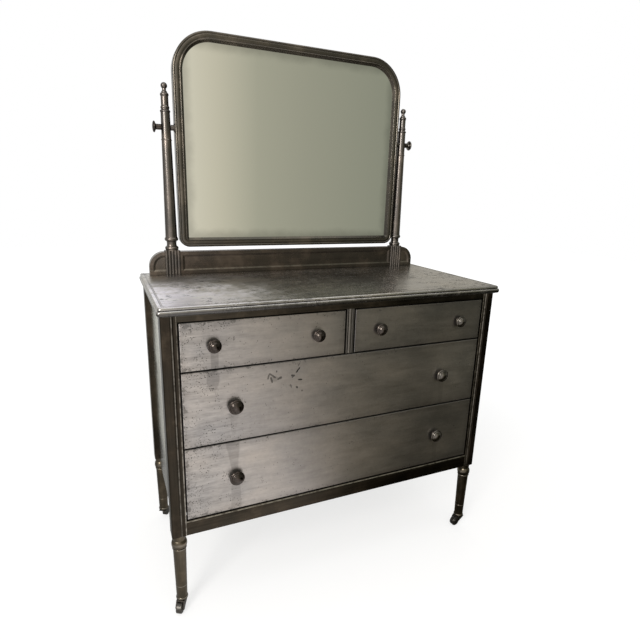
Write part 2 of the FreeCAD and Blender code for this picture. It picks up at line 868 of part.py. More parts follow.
def make_drawer(label, left, right, low, high, knob_diameter, knob_inset, knob_drop=0):
    """One drawer between two sides and two heights: a pan front, a box, knobs and their screws."""
    middle = (left + right) / 2
    half_width, height = (right - left) / 2, high - low
    knob_offset = half_width - knob_inset
    hole = size.screw_diameter / 2
    knob_z = height / 2 - knob_drop

    front = new_body(f"{label}_front", middle, front_back_y, low)
    flange = size.front_flange
    sketch = new_sketch(front, "XZ_Plane")
    draw(sketch, rectangle(-half_width, half_width, 0, height))
    draw(sketch, rectangle(flange - half_width, half_width - flange, flange, height - flange))
    pad(front, sketch, size.front_depth)
    sketch = new_sketch(front, "XZ_Plane", size.front_depth - size.front_sheet)
    draw(sketch, rectangle(-half_width, half_width, 0, height))
    for sign in (-1, 1):
        draw_circle(sketch, knob_offset * sign, knob_z, hole)
    pad(front, sketch, size.front_sheet)
    face = -size.front_depth.number
    edge_length = min(half_width.number, height.number) / 2
    fillet(front, size.front_round, lambda edge: edge.Length > edge_length
           and abs(edge.BoundBox.YMax - face) < TOUCHES)
    keep(front)

    cover = new_body(f"{label}_inner_front", middle, cover_y, low)
    inset = size.cover_inset
    sketch = new_sketch(cover, "XZ_Plane")
    draw(sketch, rectangle(inset - half_width, half_width - inset, inset, height - inset))
    for sign in (-1, 1):
        draw_circle(sketch, knob_offset * sign, knob_z, hole)
    pad(cover, sketch, size.box_sheet)

    t = size.box_sheet
    box_left, box_right = box_sides(left, right)
    box_low, box_high = low + size.box_rise, high - size.box_drop
    inner = (box_left + t, box_right - t)
    along = (cover_y, box_back_y)
    sheets = [
        cover,
        block(f"{label}_left_side", (box_left, inner[0]), along, (box_low, box_high)),
        block(f"{label}_right_side", (inner[1], box_right), along, (box_low, box_high)),
        block(f"{label}_bottom", inner, (cover_y, box_back_y - t), (box_low, box_low + t)),
        block(f"{label}_back", inner, (box_back_y - t, box_back_y), (box_low, box_high)),
    ]
    group(f"{label}_box", sheets)

    knobs, screws = [], []
    length = size.screw_head_height + size.box_sheet + size.front_depth + size.screw_bite
    for side, sign in SIDES:
        x = middle + knob_offset * sign
        z = low + knob_z
        knobs.append(turned(f"{label}_{side}_knob", knob_profile(knob_diameter), x, face_y, z, TO_FRONT))
        profile = screw_profile(size.screw_head, size.screw_head_height, size.screw_diameter, length)
        screws.append(turned(f"{label}_{side}_screw", profile, x,
                             cover_y + size.screw_head_height, z, TO_FRONT))
    group(f"{label}_knobs", knobs)
    group(f"{label}_knob_screws", screws)


def box_sides(left, right):
    """The outer faces of a drawer's box: it clears the runner, or stays inside its front."""
    clear = post_in - size.runner_sheet - size.box_side_gap
    at_left = abs(left.number + post_in.number) < size.runner_ledge.number
    at_right = abs(right.number - post_in.number) < size.runner_ledge.number
    box_left = -clear if at_left else left + size.box_side_gap
    box_right = clear if at_right else right - size.box_side_gap
    return box_left, box_right


def make_drawers():
    gap = size.drawer_gap
    stile = size.stile_width / 2
    outer, inner = post_in - gap, stile + gap
    small = (small_bottom, small_top, size.small_knob_diameter, size.small_knob_inset)
    make_drawer("left_small_drawer", -outer, -inner, *small)
    make_drawer("right_small_drawer", inner, outer, *small)
    wide = (size.wide_knob_diameter, size.wide_knob_inset, size.wide_knob_drop)
    make_drawer("middle_drawer", -outer, outer, middle_bottom, middle_top, *wide)
    make_drawer("bottom_drawer", -outer, outer, bottom_bottom, bottom_top, *wide)


def leg_profile():
    """Half of a turned leg, from the floor up: ferrule, ankle ring, tapered shaft, collar, tenon."""
    low, step = size.leg_bottom_height, size.turned_step
    bore, bore_top = size.socket_diameter / 2, low + size.socket_length
    ankle, top = size.leg_ankle / 2, size.leg_top / 2
    ferrule_top = low + size.leg_ferrule_height
    rise = size.small_bead_rise
    ring_low = size.leg_ring_height - size.leg_ring_width / 2
    ring_high = ring_low + size.leg_ring_width
    collar_low = foot_z - size.leg_collar_drop - size.leg_collar_height / 2
    collar_high = collar_low + size.leg_collar_height
    collar_ring_low = collar_low - size.leg_collar_ring_height
    shaft_top = collar_ring_low - step
    at_ring = ankle + (top - ankle) * (ring_high - ferrule_top) / (shaft_top - ferrule_top)
    neck, collar = size.leg_neck / 2, size.leg_collar / 2
    neck_ring = foot_z - size.leg_neck_ring_height
    tenon, tenon_top = (size.tenon_diameter - size.tenon_gap) / 2, foot_z + size.post_plug - size.tenon_gap
    return [
        (bore, low), (ankle, low),
        *bead(size.leg_ferrule / 2, low + step, ferrule_top - step, rise), (ankle, ferrule_top),
        (at_ring, ring_low - step), *bead(size.leg_ring / 2, ring_low, ring_high, rise / 2),
        (at_ring, ring_high + step), (top, shaft_top),
        *bead(size.leg_collar_ring / 2, collar_ring_low, collar_low, rise),
        (top, collar_low, collar - (top + neck) / 2), (neck, collar_high),
        *bead(neck + rise, neck_ring, foot_z, rise / 2),
        (tenon, foot_z), (tenon, tenon_top), (0, tenon_top), (0, bore_top), (bore, bore_top)]


def make_leg_and_caster(end, side, sign, y):
    label = f"{end}_{side}"
    x = (side_x - size.post_size / 2) * sign
    keep(turned(f"{label}_leg", leg_profile(), x, y, 0))

    low = size.leg_bottom_height
    gap = size.running_gap
    outer = rod(f"{label}_socket_outside", size.socket_diameter / 2, size.socket_length, x, y, low)
    bore = rod(f"{label}_socket_bore", size.stem_diameter / 2 + gap, size.socket_length, x, y, low)
    socket = doc.addObject("Part::Cut", f"{label}_caster_socket")
    socket.Base, socket.Tool = outer, bore

    turn = SIZES[f"turn_{end}_{side}"]
    along, across = math.cos(math.radians(turn)), math.sin(math.radians(turn))
    turned_to = FreeCAD.Rotation(FreeCAD.Vector(0, 0, 1), turn)
    axle = size.wheel_diameter / 2
    trail = size.caster_trail
    crown_top = low - size.crown_gap
    crown_low = crown_top - size.crown_thickness
    half_slot = size.wheel_width / 2 + size.wheel_gap
    half_fork = half_slot + size.cheek_thickness
    boss = size.axle_boss / 2
    boss_low = axle - size.fork_drop
    reach = size.crown_radius

    fork = new_body(f"{label}_fork_body", x, y, 0, turned_to)
    sketch = new_sketch(fork, "XZ_Plane")
    draw(sketch, [
        (-reach, crown_low), (trail - boss, boss_low, boss * BOSS_SHARE), (trail + boss, boss_low),
        (trail + boss, axle + boss / 2), (reach, crown_top), (-reach, crown_top)])
    pad(fork, sketch, half_fork * 2, centred=True)
    sketch = new_sketch(fork, "YZ_Plane")
    draw(sketch, rectangle(-half_slot, half_slot, 0, crown_low))
    cut(fork, sketch, centred=True)
    sketch = new_sketch(fork, "XZ_Plane")
    draw_circle(sketch, trail, axle, size.axle_diameter / 2)
    cut(fork, sketch, centred=True)
    sketch = new_sketch(fork, "XY_Plane", crown_low)
    draw_circle(sketch, 0, 0, reach)
    pad(fork, sketch, size.crown_thickness)
    sketch = new_sketch(fork, "XY_Plane", crown_top)
    draw_circle(sketch, 0, 0, size.stem_diameter / 2)
    pad(fork, sketch, size.stem_length)

    level = FreeCAD.Rotation(FreeCAD.Vector(1, 0, 0), -90)
    axle_x, axle_y = x + trail * along, y + trail * across
    pin = rod(f"{label}_axle_pin", size.axle_diameter / 2, half_fork * 2,
              axle_x + half_fork * across, axle_y - half_fork * along, axle, turned_to * level)
    group(f"{label}_caster_fork", [fork, pin])

    half, radius = size.wheel_width / 2, size.wheel_diameter / 2
    bore, hub, web_edge = size.axle_diameter / 2 + gap, size.wheel_hub / 2, size.wheel_web_edge / 2
    dish, corner = size.wheel_dish, size.tread_round
    rim = half - dish / 2
    wheel = turned(f"{label}_wheel", [
        (bore, -half), (hub, -half), (hub + dish, dish - half), (web_edge, dish - half),
        (radius - corner, -rim, corner * QUARTER_RISE), (radius, corner - rim),
        (radius, rim - corner, corner * QUARTER_RISE), (radius - corner, rim),
        (web_edge, half - dish), (hub + dish, half - dish), (hub, half), (bore, half),
    ], axle_x, axle_y, axle, turned_to * level)
    keep(wheel)
    return socket


def make_legs():
    inset = size.post_size / 2
    sockets = []
    for end, y in (("front", front_y + inset), ("rear", back_y - inset)):
        for side, sign in SIDES:
            sockets.append(make_leg_and_caster(end, side, sign, y))
    group("caster_sockets", sockets)


def press_panel(body, outer, inner, mirrored=False):
    """Sink a panel into the backboard's face, with a sloping border from outer to inner."""
    face = new_sketch(body, "XZ_Plane", size.backboard_thickness)
    draw(face, outer, mirrored)
    floor = new_sketch(body, "XZ_Plane", size.backboard_thickness - size.backboard_sink)
    draw(floor, inner, mirrored)
    doc.recompute()
    before = body.Shape.Volume
    loft = body.newObject("PartDesign::SubtractiveLoft", f"{body.Name}_panel")
    loft.Profile = (face, [""])
    loft.Sections = [(floor, [""])]
    loft.Ruled = True
    doc.recompute()
    if not body.Shape.Volume < before:
        raise RuntimeError(f"{loft.Label} removes nothing")


def make_backboard():
    back = backboard_back_y
    height = size.backboard_height + size.seat_sink
    thickness = size.backboard_thickness
    border, bevel = size.backboard_border, size.backboard_bevel
    notch_front = -thickness - size.harp_base_lead
    notch_back = size.backboard_lead + size.harp_base_back + size.harp_base_gap - thickness
    wall = size.backboard_wall
    low, high = border + size.seat_sink, height - border

    body = new_body("backboard", 0, back, seat_z)
    panel_x = harp_x - size.harp_base_width / 2 - size.backboard_post_border
    sketch = new_sketch(body, "XZ_Plane")
    draw(sketch, rectangle(-harp_x, harp_x, 0, height))
    pad(body, sketch, thickness)
    press_panel(body, rectangle(-panel_x, panel_x, low, high),
                rectangle(bevel - panel_x, panel_x - bevel, low + bevel, high - bevel))
    sketch = new_sketch(body, "XY_Plane")
    for sign in (-1, 1):
        draw(sketch, rectangle(harp_x * sign - harp_base_clear, harp_x * sign + harp_base_clear,
                               notch_front, notch_back))
    cut(body, sketch, reverse=True)
    sketch = new_sketch(body, "XY_Plane")
    draw(sketch, rectangle(-panel_x, panel_x, wall + size.backboard_sink - thickness, -wall))
    cut(body, sketch, height - wall * 2, reverse=True)
    keep(body)

    reach = size.backboard_reach
    shoulder = size.backboard_shoulder + size.seat_sink
    round_ = height - shoulder
    side = reach - round_

    def panel(inset):
        edge, sill = reach - inset, low + inset - border
        return [
            (edge, sill), (edge, shoulder, (round_ - inset) * QUARTER_RISE),
            (side, height - inset), (side, sill)]

    ends = []
    for side_name, sign in SIDES:
        mirrored = sign < 0
        end = new_body(f"{side_name}_backboard_end", harp_x * sign, back, seat_z)
        sketch = new_sketch(end, "XZ_Plane")
        draw(sketch, [
            (reach, 0), (reach, shoulder, round_ * QUARTER_RISE), (side, height), (0, height), (0, 0)],
            mirrored)
        pad(end, sketch, thickness)
        press_panel(end, panel(border), panel(border + bevel), mirrored)
        sketch = new_sketch(end, "XY_Plane")
        draw(sketch, rectangle(-harp_base_clear, harp_base_clear, notch_front, notch_back))
        cut(end, sketch, reverse=True)
        ends.append(end)
    group("backboard_ends", ends)


def harp_radius(height):
    """The shaft's radius at a height above the top."""
    foot, head = size.harp_foot / 2, size.harp_head / 2
    share = (height - harp_foot_height) / (size.harp_ring_height - harp_foot_height)
    return foot - (foot - head) * share


def harp_profile():
    """Half of an upright above its reeded base, as radius and height above the top."""
    base, ring_step, lip = size.harp_bead / 2, size.turned_step, size.turned_lip
    low, bead_height, bead_rise = size.harp_base_height, size.harp_bead_height, size.harp_bead_rise
    bead_radius = base - bead_rise
    neck_low = low + bead_height + lip * 2
    neck_high = neck_low + size.harp_neck_height
    foot, neck = size.harp_foot / 2, size.harp_neck / 2
    mark_low = size.harp_shaft_ring_height - size.harp_shaft_ring_width / 2
    mark_high = mark_low + size.harp_shaft_ring_width
    mark_rise = size.small_bead_rise
    mark = harp_radius(mark_low) + mark_rise
    ring_low = size.harp_ring_height - size.harp_ring_width / 2
    ring_high = ring_low + size.harp_ring_width
    ring = size.harp_ring / 2 - ring_step
    crown, crown_rise = size.harp_crown / 2, size.harp_crown_bead_rise
    crown_low = ring_high + lip * 2
    crown_high = crown_low + size.harp_crown_bead_height
    top = size.harp_top_height
    cup_low = top - lip - size.harp_crown_bead_height
    stud, stud_low = size.finial_stud / 2, top - size.finial_stud_length
    return [
        (0, low), (bead_radius, low), *bead(bead_radius, low + lip, low + lip + bead_height, bead_rise),
        (neck, neck_low, -size.harp_neck_sink), (neck, neck_high),
        *bead(bead_radius, neck_high + lip, neck_high + lip + bead_height, bead_rise),
        (foot, harp_foot_height), (harp_radius(mark_low), mark_low - ring_step),
        *bead(mark, mark_low, mark_high, mark_rise / 2), (harp_radius(mark_high), mark_high + ring_step),
        (size.harp_head / 2, ring_low - ring_step), *bead(ring, ring_low, ring_high, ring_step),
        (crown, ring_high + lip), *bead(crown, crown_low, crown_high, crown_rise),
        (crown - mark_rise, crown_high + lip), (crown - mark_rise, cup_low - lip),
        *bead(size.harp_cup / 2 - crown_rise, cup_low, top - lip, crown_rise),
        (size.finial_foot / 2, top), (stud, top), (stud, stud_low), (0, stud_low)]


def base_outline(count):
    """An upright's base from above: a block whose front is made of equal upright reeds."""
    half, width = size.harp_base_width / 2, size.harp_base_width / count
    reeds = [(width * index - half, harp_base_front, size.harp_reed_rise) for index in range(count)]
    return reeds + [(half, harp_base_front), (half, size.harp_base_back), (-half, size.harp_base_back)]


def finial_profile():
    """Half of a ball finial with the stud that holds it in its upright."""
    ball = size.finial_ball / 2
    top = size.harp_top_height
    centre = top + size.finial_height - ball
    foot, foot_top = size.finial_foot / 2, top + size.finial_foot_height
    stud, stud_low = size.finial_stud / 2, top - size.finial_stud_length
    neck = ball * BALL_OUT
    return [
        (0, stud_low), (stud, stud_low), (stud, top), (foot, top), (foot, foot_top),
        (neck, top + size.finial_neck_height), (neck, centre - ball * BALL_DOWN, ball * BALL_RISE),
        (ball, centre, ball * QUARTER_RISE), (0, centre + ball)]


def make_harps():
    bite = size.harp_bolt_bite
    bolt = size.harp_bolt / 2
    finials, bolts = [], []
    for side, sign in SIDES:
        body = new_body(f"{side}_harp_post", harp_x * sign, harp_y, top_z)
        sketch = new_sketch(body, "XY_Plane", -size.seat_sink)
        draw(sketch, base_outline(int(SIZES["harp_reeds"])))
        pad(body, sketch, size.harp_base_height + size.seat_sink)
        spin(body, harp_profile())
        sketch = new_sketch(body, "XY_Plane", -size.seat_sink)
        draw_circle(sketch, 0, 0, bolt)
        cut(body, sketch, bite, reverse=True)
        sketch = new_sketch(body, "YZ_Plane")
        draw_circle(sketch, 0, size.pivot_height, size.pivot_stud / 2 + size.running_gap)
        cut(body, sketch, centred=True)
        keep(body)
        finials.append(turned(f"{side}_finial", finial_profile(), harp_x * sign, harp_y, top_z))
        length = size.harp_bolt_head_height + size.top_thickness - size.seat_sink + bite
        profile = screw_profile(size.harp_bolt_head, size.harp_bolt_head_height, size.harp_bolt, length)
        bolts.append(turned(f"{side}_harp_bolt", profile, harp_x * sign, harp_y,
                            slab_z - size.harp_bolt_head_height))
    group("harp_finials", finials)
    group("harp_bolts", bolts)


def mirror_outline(inset):
    """The mirror seen from the front, less an inset all round, with the pivots at height 0."""
    half = size.mirror_width / 2 - inset
    low, high = inset - size.mirror_below_pivot, size.mirror_above_pivot - inset
    bottom, top = size.mirror_bottom_round - inset, size.mirror_top_round - inset
    return [
        (bottom - half, low), (half - bottom, low, bottom * QUARTER_RISE), (half, low + bottom),
        (half, high - top, top * QUARTER_RISE), (half - top, high),
        (top - half, high, top * QUARTER_RISE), (-half, high - top),
        (-half, low + bottom, bottom * QUARTER_RISE)]


def frame_section():
    """The mirror frame's section at its lower edge: (y, z), with the outer edge at the bottom."""
    front = -size.mirror_depth / 2
    back = size.mirror_depth / 2
    low = -size.mirror_below_pivot
    inner, rebate = low + size.mirror_face, low + size.mirror_rebate
    glass = front + size.glass_front_sink
    crest, band, edge = front + size.mirror_crest, front + size.mirror_band_sink, size.mirror_edge_round
    return [
        (back, low), (back, rebate), (glass, rebate), (glass, inner), (glass - size.mirror_lip, inner),
        (front + size.mirror_slope_sink, low + size.mirror_slope_start),
        (crest, low + size.mirror_bead_end, size.mirror_crest), (crest, low + size.mirror_bead_start),
        (band, low + size.mirror_band_end, size.mirror_band_rise), (band, low + size.mirror_band_start),
        (front + edge, low + size.mirror_edge_width, edge), (front + size.mirror_edge_drop, low)]


def make_mirror():
    pivot_z = top_z + size.pivot_height
    frame = new_body("mirror_frame", 0, harp_y, pivot_z)
    path = new_sketch(frame, "XZ_Plane")
    draw(path, mirror_outline(dim(0)))
    section = new_sketch(frame, "YZ_Plane")
    draw(section, frame_section())
    pipe = frame.newObject("PartDesign::AdditivePipe", "mirror_frame_pipe")
    pipe.Profile = (section, [""])
    pipe.Spine = (path, [])
    hollow = new_sketch(frame, "YZ_Plane")
    wall = size.mirror_sheet
    low = -size.mirror_below_pivot
    hollow_front = size.mirror_edge_drop + wall - size.mirror_depth / 2
    draw(hollow, rectangle(hollow_front, size.mirror_depth / 2 - wall,
                           low + wall, low + size.mirror_rebate - wall))
    core = frame.newObject("PartDesign::SubtractivePipe", "mirror_frame_hollow")
    core.Profile = (hollow, [""])
    core.Spine = (path, [])
    keep(frame)

    inset = size.mirror_rebate + size.glass_gap
    glass_back = harp_y - size.mirror_depth / 2 + size.glass_front_sink + size.glass_thickness
    glass = new_body("mirror_glass", 0, glass_back, pivot_z)
    sketch = new_sketch(glass, "XZ_Plane")
    draw(sketch, mirror_outline(inset))
    pad(glass, sketch, size.glass_thickness)
    keep(glass)

    frame_back = harp_y + size.mirror_depth / 2
    depth = frame_back - glass_back
    back = new_body("mirror_back", 0, frame_back, pivot_z)
    sketch = new_sketch(back, "XZ_Plane")
    draw(sketch, mirror_outline(inset))
    draw(sketch, mirror_outline(inset + size.back_pan_sheet))
    pad(back, sketch, depth)
    sketch = new_sketch(back, "XZ_Plane")
    draw(sketch, mirror_outline(inset))
    pad(back, sketch, size.back_pan_sheet)
    keep(back)

    make_clips(pivot_z, frame_back)


def make_clips(pivot_z, frame_back):
    """Flat clips with a round screw head, bridging the frame and the back pan."""
    half = size.mirror_width / 2
    seam = size.mirror_rebate
    low, high = -size.mirror_below_pivot, size.mirror_above_pivot
    long_half, wide_half = size.clip_length / 2, size.clip_width / 2
    places = []
    for sign in (-1, 1):
        x = (half - size.clip_side_inset) * sign
        places.append((x, low + seam, wide_half, long_half, 0, -1))
        places.append((x, high - seam, wide_half, long_half, 0, 1))
        for height in (-size.clip_low_drop, size.clip_high_rise):
            places.append(((half - seam) * sign, height, long_half, wide_half, sign, 0))
    clips = []
    to_back = FreeCAD.Rotation(FreeCAD.Vector(1, 0, 0), -90)
    for number, (x, z, reach_x, reach_z, across, up) in enumerate(places, 1):
        plate = block(f"clip_{number}_plate", (x - reach_x, x + reach_x),
                      (frame_back, frame_back + size.clip_thickness),
                      (pivot_z + z - reach_z, pivot_z + z + reach_z))
        head = rod(f"clip_{number}_screw", size.clip_screw / 2,
                   size.clip_thickness + size.clip_screw_rise, x + size.clip_screw_offset * across,
                   frame_back, pivot_z + z + size.clip_screw_offset * up, to_back)
        clip = doc.addObject("Part::Fuse", f"clip_{number}")
        clip.Base, clip.Tool = plate, head
        clips.append(clip)
    group("mirror_back_clips", clips)


def make_pivots():
    """Studs on the mirror's sides that pass through the uprights, and the screws on their ends."""
    pivot_z = top_z + size.pivot_height
    half = size.mirror_width / 2
    post = harp_radius(size.pivot_height)
    spacer_end = harp_x - post - size.pivot_post_gap - half
    thumb_start = harp_x + post + size.pivot_post_gap
    stud_end = thumb_start + size.thumb_bore_depth - size.pivot_end_gap - half
    stud, spacer = size.pivot_stud / 2, size.pivot_spacer / 2
    plate, t = size.pivot_plate / 2, size.pivot_plate_thickness
    profile = [
        (0, 0), (plate, 0), (plate, t), (spacer, t + size.pivot_plate_slope), (spacer, spacer_end),
        (stud, spacer_end), (stud, stud_end), (0, stud_end)]
    shank, disc = size.thumb_shank / 2, size.thumb_disc / 2
    length, thick = size.thumb_length, size.thumb_disc_thickness
    bore = stud + size.running_gap
    neck_z = length - thick
    step, lip, rise = size.turned_step, size.turned_lip, size.thumb_rim_rise
    face = disc - rise - size.thumb_face_inset
    screw = [
        (bore, 0), (shank, 0), (shank, neck_z - lip, -size.thumb_neck_sink), (face, neck_z + step),
        *bead(disc - rise, neck_z + lip, length - lip - step, rise),
        *dome(face, length - lip, length), (0, size.thumb_bore_depth), (bore, size.thumb_bore_depth)]
    pivots = []
    for side, sign in SIDES:
        outward = FreeCAD.Rotation(FreeCAD.Vector(0, 1, 0), 90 * sign)
        pivots.append(turned(f"{side}_pivot", profile, half * sign, harp_y, pivot_z, outward))
        keep(turned(f"{side}_thumb_screw", screw, thumb_start * sign, harp_y, pivot_z, outward))
    group("mirror_pivots", pivots)


def check_document():
    doc.recompute()
    faults = []
    for thing in doc.Objects:
        if "Invalid" in thing.State or "Error" in thing.State:
            faults.append(f"{thing.Label}: {thing.State}")
    for thing in nodes:
        shape = thing.Shape
        if shape.isNull() or not shape.isValid() or not shape.Solids:
            faults.append(f"{thing.Label}: no valid shape")
    if faults:
        raise RuntimeError("\n".join(faults))


make_top()
make_posts()
make_sides()
make_back()
make_front_rails()
make_runners()
make_drawers()
make_legs()
make_backboard()
make_harps()
make_mirror()
make_pivots()
check_document()

os.makedirs("parts", exist_ok=True)
for thing in nodes:
    thing.Shape.exportStep(f"parts/{thing.Label}.step")
    print(f"{thing.Label}: {len(thing.Shape.Solids)} solid(s), {thing.Shape.Volume / 1000:.1f} cm3")
print(f"{len(nodes)} nodes; front of the posts at y = {front_y.number:.3f}, "
      f"underside of the posts at z = {foot_z.number:.3f}")
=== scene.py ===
import functools
import math

import bpy
from mathutils import Matrix, Vector


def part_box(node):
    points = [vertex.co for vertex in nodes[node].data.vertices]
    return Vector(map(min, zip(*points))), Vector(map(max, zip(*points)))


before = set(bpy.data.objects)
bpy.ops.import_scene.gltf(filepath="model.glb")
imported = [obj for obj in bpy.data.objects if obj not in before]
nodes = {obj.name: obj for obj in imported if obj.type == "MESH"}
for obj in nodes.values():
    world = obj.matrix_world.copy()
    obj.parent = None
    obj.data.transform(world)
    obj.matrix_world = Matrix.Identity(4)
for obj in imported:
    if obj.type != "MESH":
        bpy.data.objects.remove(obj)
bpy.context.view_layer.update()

DRAWERS = ("left_small_drawer", "right_small_drawer", "middle_drawer", "bottom_drawer")
CORNERS = ("front_left", "front_right", "rear_left", "rear_right")


# --- Shader maths -------------------------------------------------------------------------------

# Sockets of a Mix node that blends two colours
MIX_AMOUNT, MIX_FIRST, MIX_SECOND, MIX_RESULT = 0, 6, 7, 2
# Where a noise has its middle
NOISE_MIDDLE = 0.5


class Socket:
    """An output in a material. Python's arithmetic on it adds Math nodes."""

    def __init__(self, finish, output):
        self.finish = finish
        self.output = output

    def math(self, operation, *values):
        return self.finish.node("Math", {"operation": operation}, *values)

    def __add__(self, other):
        return self.math("ADD", self, other)

    def __sub__(self, other):
        return self.math("SUBTRACT", self, other)

    def __rsub__(self, other):
        return self.math("SUBTRACT", other, self)

    def __mul__(self, other):
        return self.math("MULTIPLY", self, other)

    def __truediv__(self, other):
        return self.math("DIVIDE", self, other)

    def __pow__(self, other):
        return self.math("POWER", self, other)

    def __abs__(self):
        return self.math("ABSOLUTE", self)

    __radd__ = __add__
    __rmul__ = __mul__

    def less(self, other):
        return self.math("MINIMUM", self, other)

    def more(self, other):
        return self.math("MAXIMUM", self, other)

    def held(self):
        """The value kept between 0 and 1."""
        return self.more(0.0).less(1.0)

    def rise(self, start, end):
        """A smooth step from 0 at start to 1 at end."""
        settings = {"interpolation_type": "SMOOTHSTEP"}
        return self.finish.node("MapRange", settings, Value=self, From_Min=start, From_Max=end)

    def fall(self, start, end):
        """A smooth step from 1 at start to 0 at end."""
        return 1.0 - self.rise(start, end)

    def swing(self, amount):
        """A noise moved to lie about 0, times an amount."""
        return (self - NOISE_MIDDLE) * amount

    def darkened(self, mask, strength):
        """The value, less by a share of itself where the mask is 1."""
        return self * (1.0 - mask * strength)


def nearest(*gaps):
    """The smallest of some distances."""
    return functools.reduce(Socket.less, gaps)


def strongest(*masks):
    """The largest of some masks."""
    return functools.reduce(Socket.more, masks)


class Finish:
    """A material being built up, with its Principled shader and the piece's own coordinates."""

    def __init__(self, name):
        self.material = bpy.data.materials.new(name)
        self.material.use_nodes = True
        self.tree = self.material.node_tree
        self.shader = self.tree.nodes["Principled BSDF"]
        self.coordinates = self.node("TexCoord", output="Object")

    def node(self, kind, settings=None, *values, output=0, **sockets):
        """Add a node: first its settings, then the values or links of its sockets."""
        made = self.tree.nodes.new("ShaderNode" + kind)
        for name, value in (settings or {}).items():
            if name == "stops":
                ramp = made.color_ramp
                while len(ramp.elements) < len(value):
                    ramp.elements.new(1.0)
                for element, (position, colour) in zip(ramp.elements, value):
                    element.position = position
                    element.color = (*colour, 1.0)
            else:
                setattr(made, name, value)
        for place, value in enumerate(values):
            self.feed(made.inputs[place], value)
        for name, value in sockets.items():
            self.feed(made.inputs[name.replace("_", " ")], value)
        return Socket(self, made.outputs[output])

    def feed(self, target, value):
        if isinstance(value, Socket):
            self.tree.links.new(value.output, target)
        elif value is not None:
            target.default_value = value

    def mix(self, amount, first, second):
        """Blend two colours."""
        made = self.tree.nodes.new("ShaderNodeMix")
        made.data_type = "RGBA"
        for place, value in ((MIX_AMOUNT, amount), (MIX_FIRST, first), (MIX_SECOND, second)):
            if isinstance(value, tuple):
                value = (*value, 1.0)
            self.feed(made.inputs[place], value)
        return Socket(self, made.outputs[MIX_RESULT])

    def tint(self, colour, brightness):
        """A colour made lighter or darker by a factor."""
        return self.node("VectorMath", {"operation": "SCALE"}, colour, Scale=brightness)

    def stretched(self, x, y, z):
        """The piece's coordinates, in metres, each multiplied by its own number."""
        settings = {"operation": "MULTIPLY"}
        return self.node("VectorMath", settings, self.coordinates, (x, y, z))

    def noise(self, scale=1.0, detail=3.0, roughness=0.5, stretch=None):
        """A cloudy pattern. A stretch scales it by its own number along each axis."""
        where = self.stretched(*stretch) if stretch else self.coordinates
        return self.node("TexNoise", None, Vector=where, Scale=scale, Detail=detail,
                         Roughness=roughness)

    def cells(self, scale):
        """Distance from the nearest of many scattered points."""
        return self.node("TexVoronoi", None, Vector=self.coordinates, Scale=scale,
                         output="Distance")

    def specks(self, scale, size, cluster_scale, cluster_size):
        """Dots in clusters. Each size is the range over which a dot or a cluster fades."""
        dots = self.cells(scale).fall(*size)
        return dots * self.noise(cluster_scale, detail=2.0).rise(*cluster_size)

    def axes(self):
        """The piece's x, y and z as three numbers."""
        split = self.tree.nodes.new("ShaderNodeSeparateXYZ")
        self.feed(split.inputs[0], self.coordinates)
        return [Socket(self, output) for output in split.outputs]

    def bump(self, height, depth, below=None):
        """Relief of a depth in metres, on top of another relief if one is given."""
        return self.node("Bump", None, Strength=1.0, Distance=depth, Height=height, Normal=below)

    def surface(self, **sockets):
        """Feed the Principled shader's sockets, and give the material."""
        for name, value in sockets.items():
            if isinstance(value, tuple):
                value = (*value, 1.0)
            self.feed(self.shader.inputs[name.replace("_", " ")], value)
        return self.material

    def metal(self, colour, tone, rough, relief=None, metallic=1.0):
        """Bare metal: its colour times a tone, its roughness and its relief."""
        return self.surface(Base_Color=self.tint(colour, tone), Metallic=metallic,
                            Roughness=rough.held(), Normal=relief)


# --- Places and colours -------------------------------------------------------------------------

# Places and widths are in metres. A pair alone is the range over which something begins or ends.
top_low, top_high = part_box("top_panel")
board_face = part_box("backboard")[0].y
rail_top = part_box("bottom_front_rail")[1].z

# Along x on the drawers' fronts: where the worn left end, with its painted highlight, fades out,
# and where the smeary left does
FAR_LEFT, NEAR_LEFT = (-0.47, -0.30), (-0.48, -0.20)
# In from the edge of a front: its worn left rim with a painted highlight, the painted shade of the
# gaps at its top and bottom and at its left side, and grime
WORN_RIM_AND_HIGHLIGHT, GAP_SHADE = (0.0016, 0.0030), (0.0008, 0.0022)
LEFT_GAP_SHADE, RIM_GRIME = (0.0015, 0.0040), (0.002, 0.022)
# Drip stains on the fronts, with painted shade and reflections of the knobs stretched down below
# them: drawer, then the trail's top and foot as (x, z, half width), strength
DRIPS_AND_KNOB_REFLECTIONS = (
    ("left_small_drawer", (-0.394, 0.792, 0.012), (-0.394, 0.742, 0.011), 0.24),
    ("bottom_drawer", (-0.351, 0.5186, 0.023), (-0.346, 0.430, 0.010), 0.20),
    ("bottom_drawer", (-0.344, 0.392, 0.014), (-0.344, 0.306, 0.018), 0.18),
    ("bottom_drawer", (0.345, 0.392, 0.013), (0.348, 0.310, 0.008), 0.10),
    ("middle_drawer", (0.347, 0.605, 0.013), (0.350, 0.530, 0.008), 0.10),
    ("middle_drawer", (-0.346, 0.605, 0.015), (-0.348, 0.545, 0.006), 0.09),
)
# Wide soft painted shade and painted light on the fronts, standing in for reflections: drawer,
# middle, reach and how much darker, or lighter below 0
PAINTED_SHADE_AND_LIGHT = (
    ("right_small_drawer", (0.320, 0.800), (0.320, 0.160), 0.16),
    ("middle_drawer", (0.430, 0.635), (0.200, 0.150), -0.42),
)
# The outer share of a painted shade and of a stain, over which they fade
PAINTED_SHADE_SOFTNESS, STAIN_SOFTNESS = 0.9, 0.25
# On the middle drawer, the rounded end of a trail below a knob, drip stain with painted knob
# reflection, and a bare patch: middle, reach and strength
PATCHES = (
    ((-0.400, 0.710), (0.019, 0.040), 0.24),
    ((-0.2300, 0.6890), (0.0120, 0.0100), 0.22),
)
# How a trail fades: across it in half widths, and at its foot and top in shares of its length
TRAIL_SIDES, TRAIL_FOOT, TRAIL_TOP = (0.75, 1.0), (-0.10, 0.06), (0.99, 1.03)
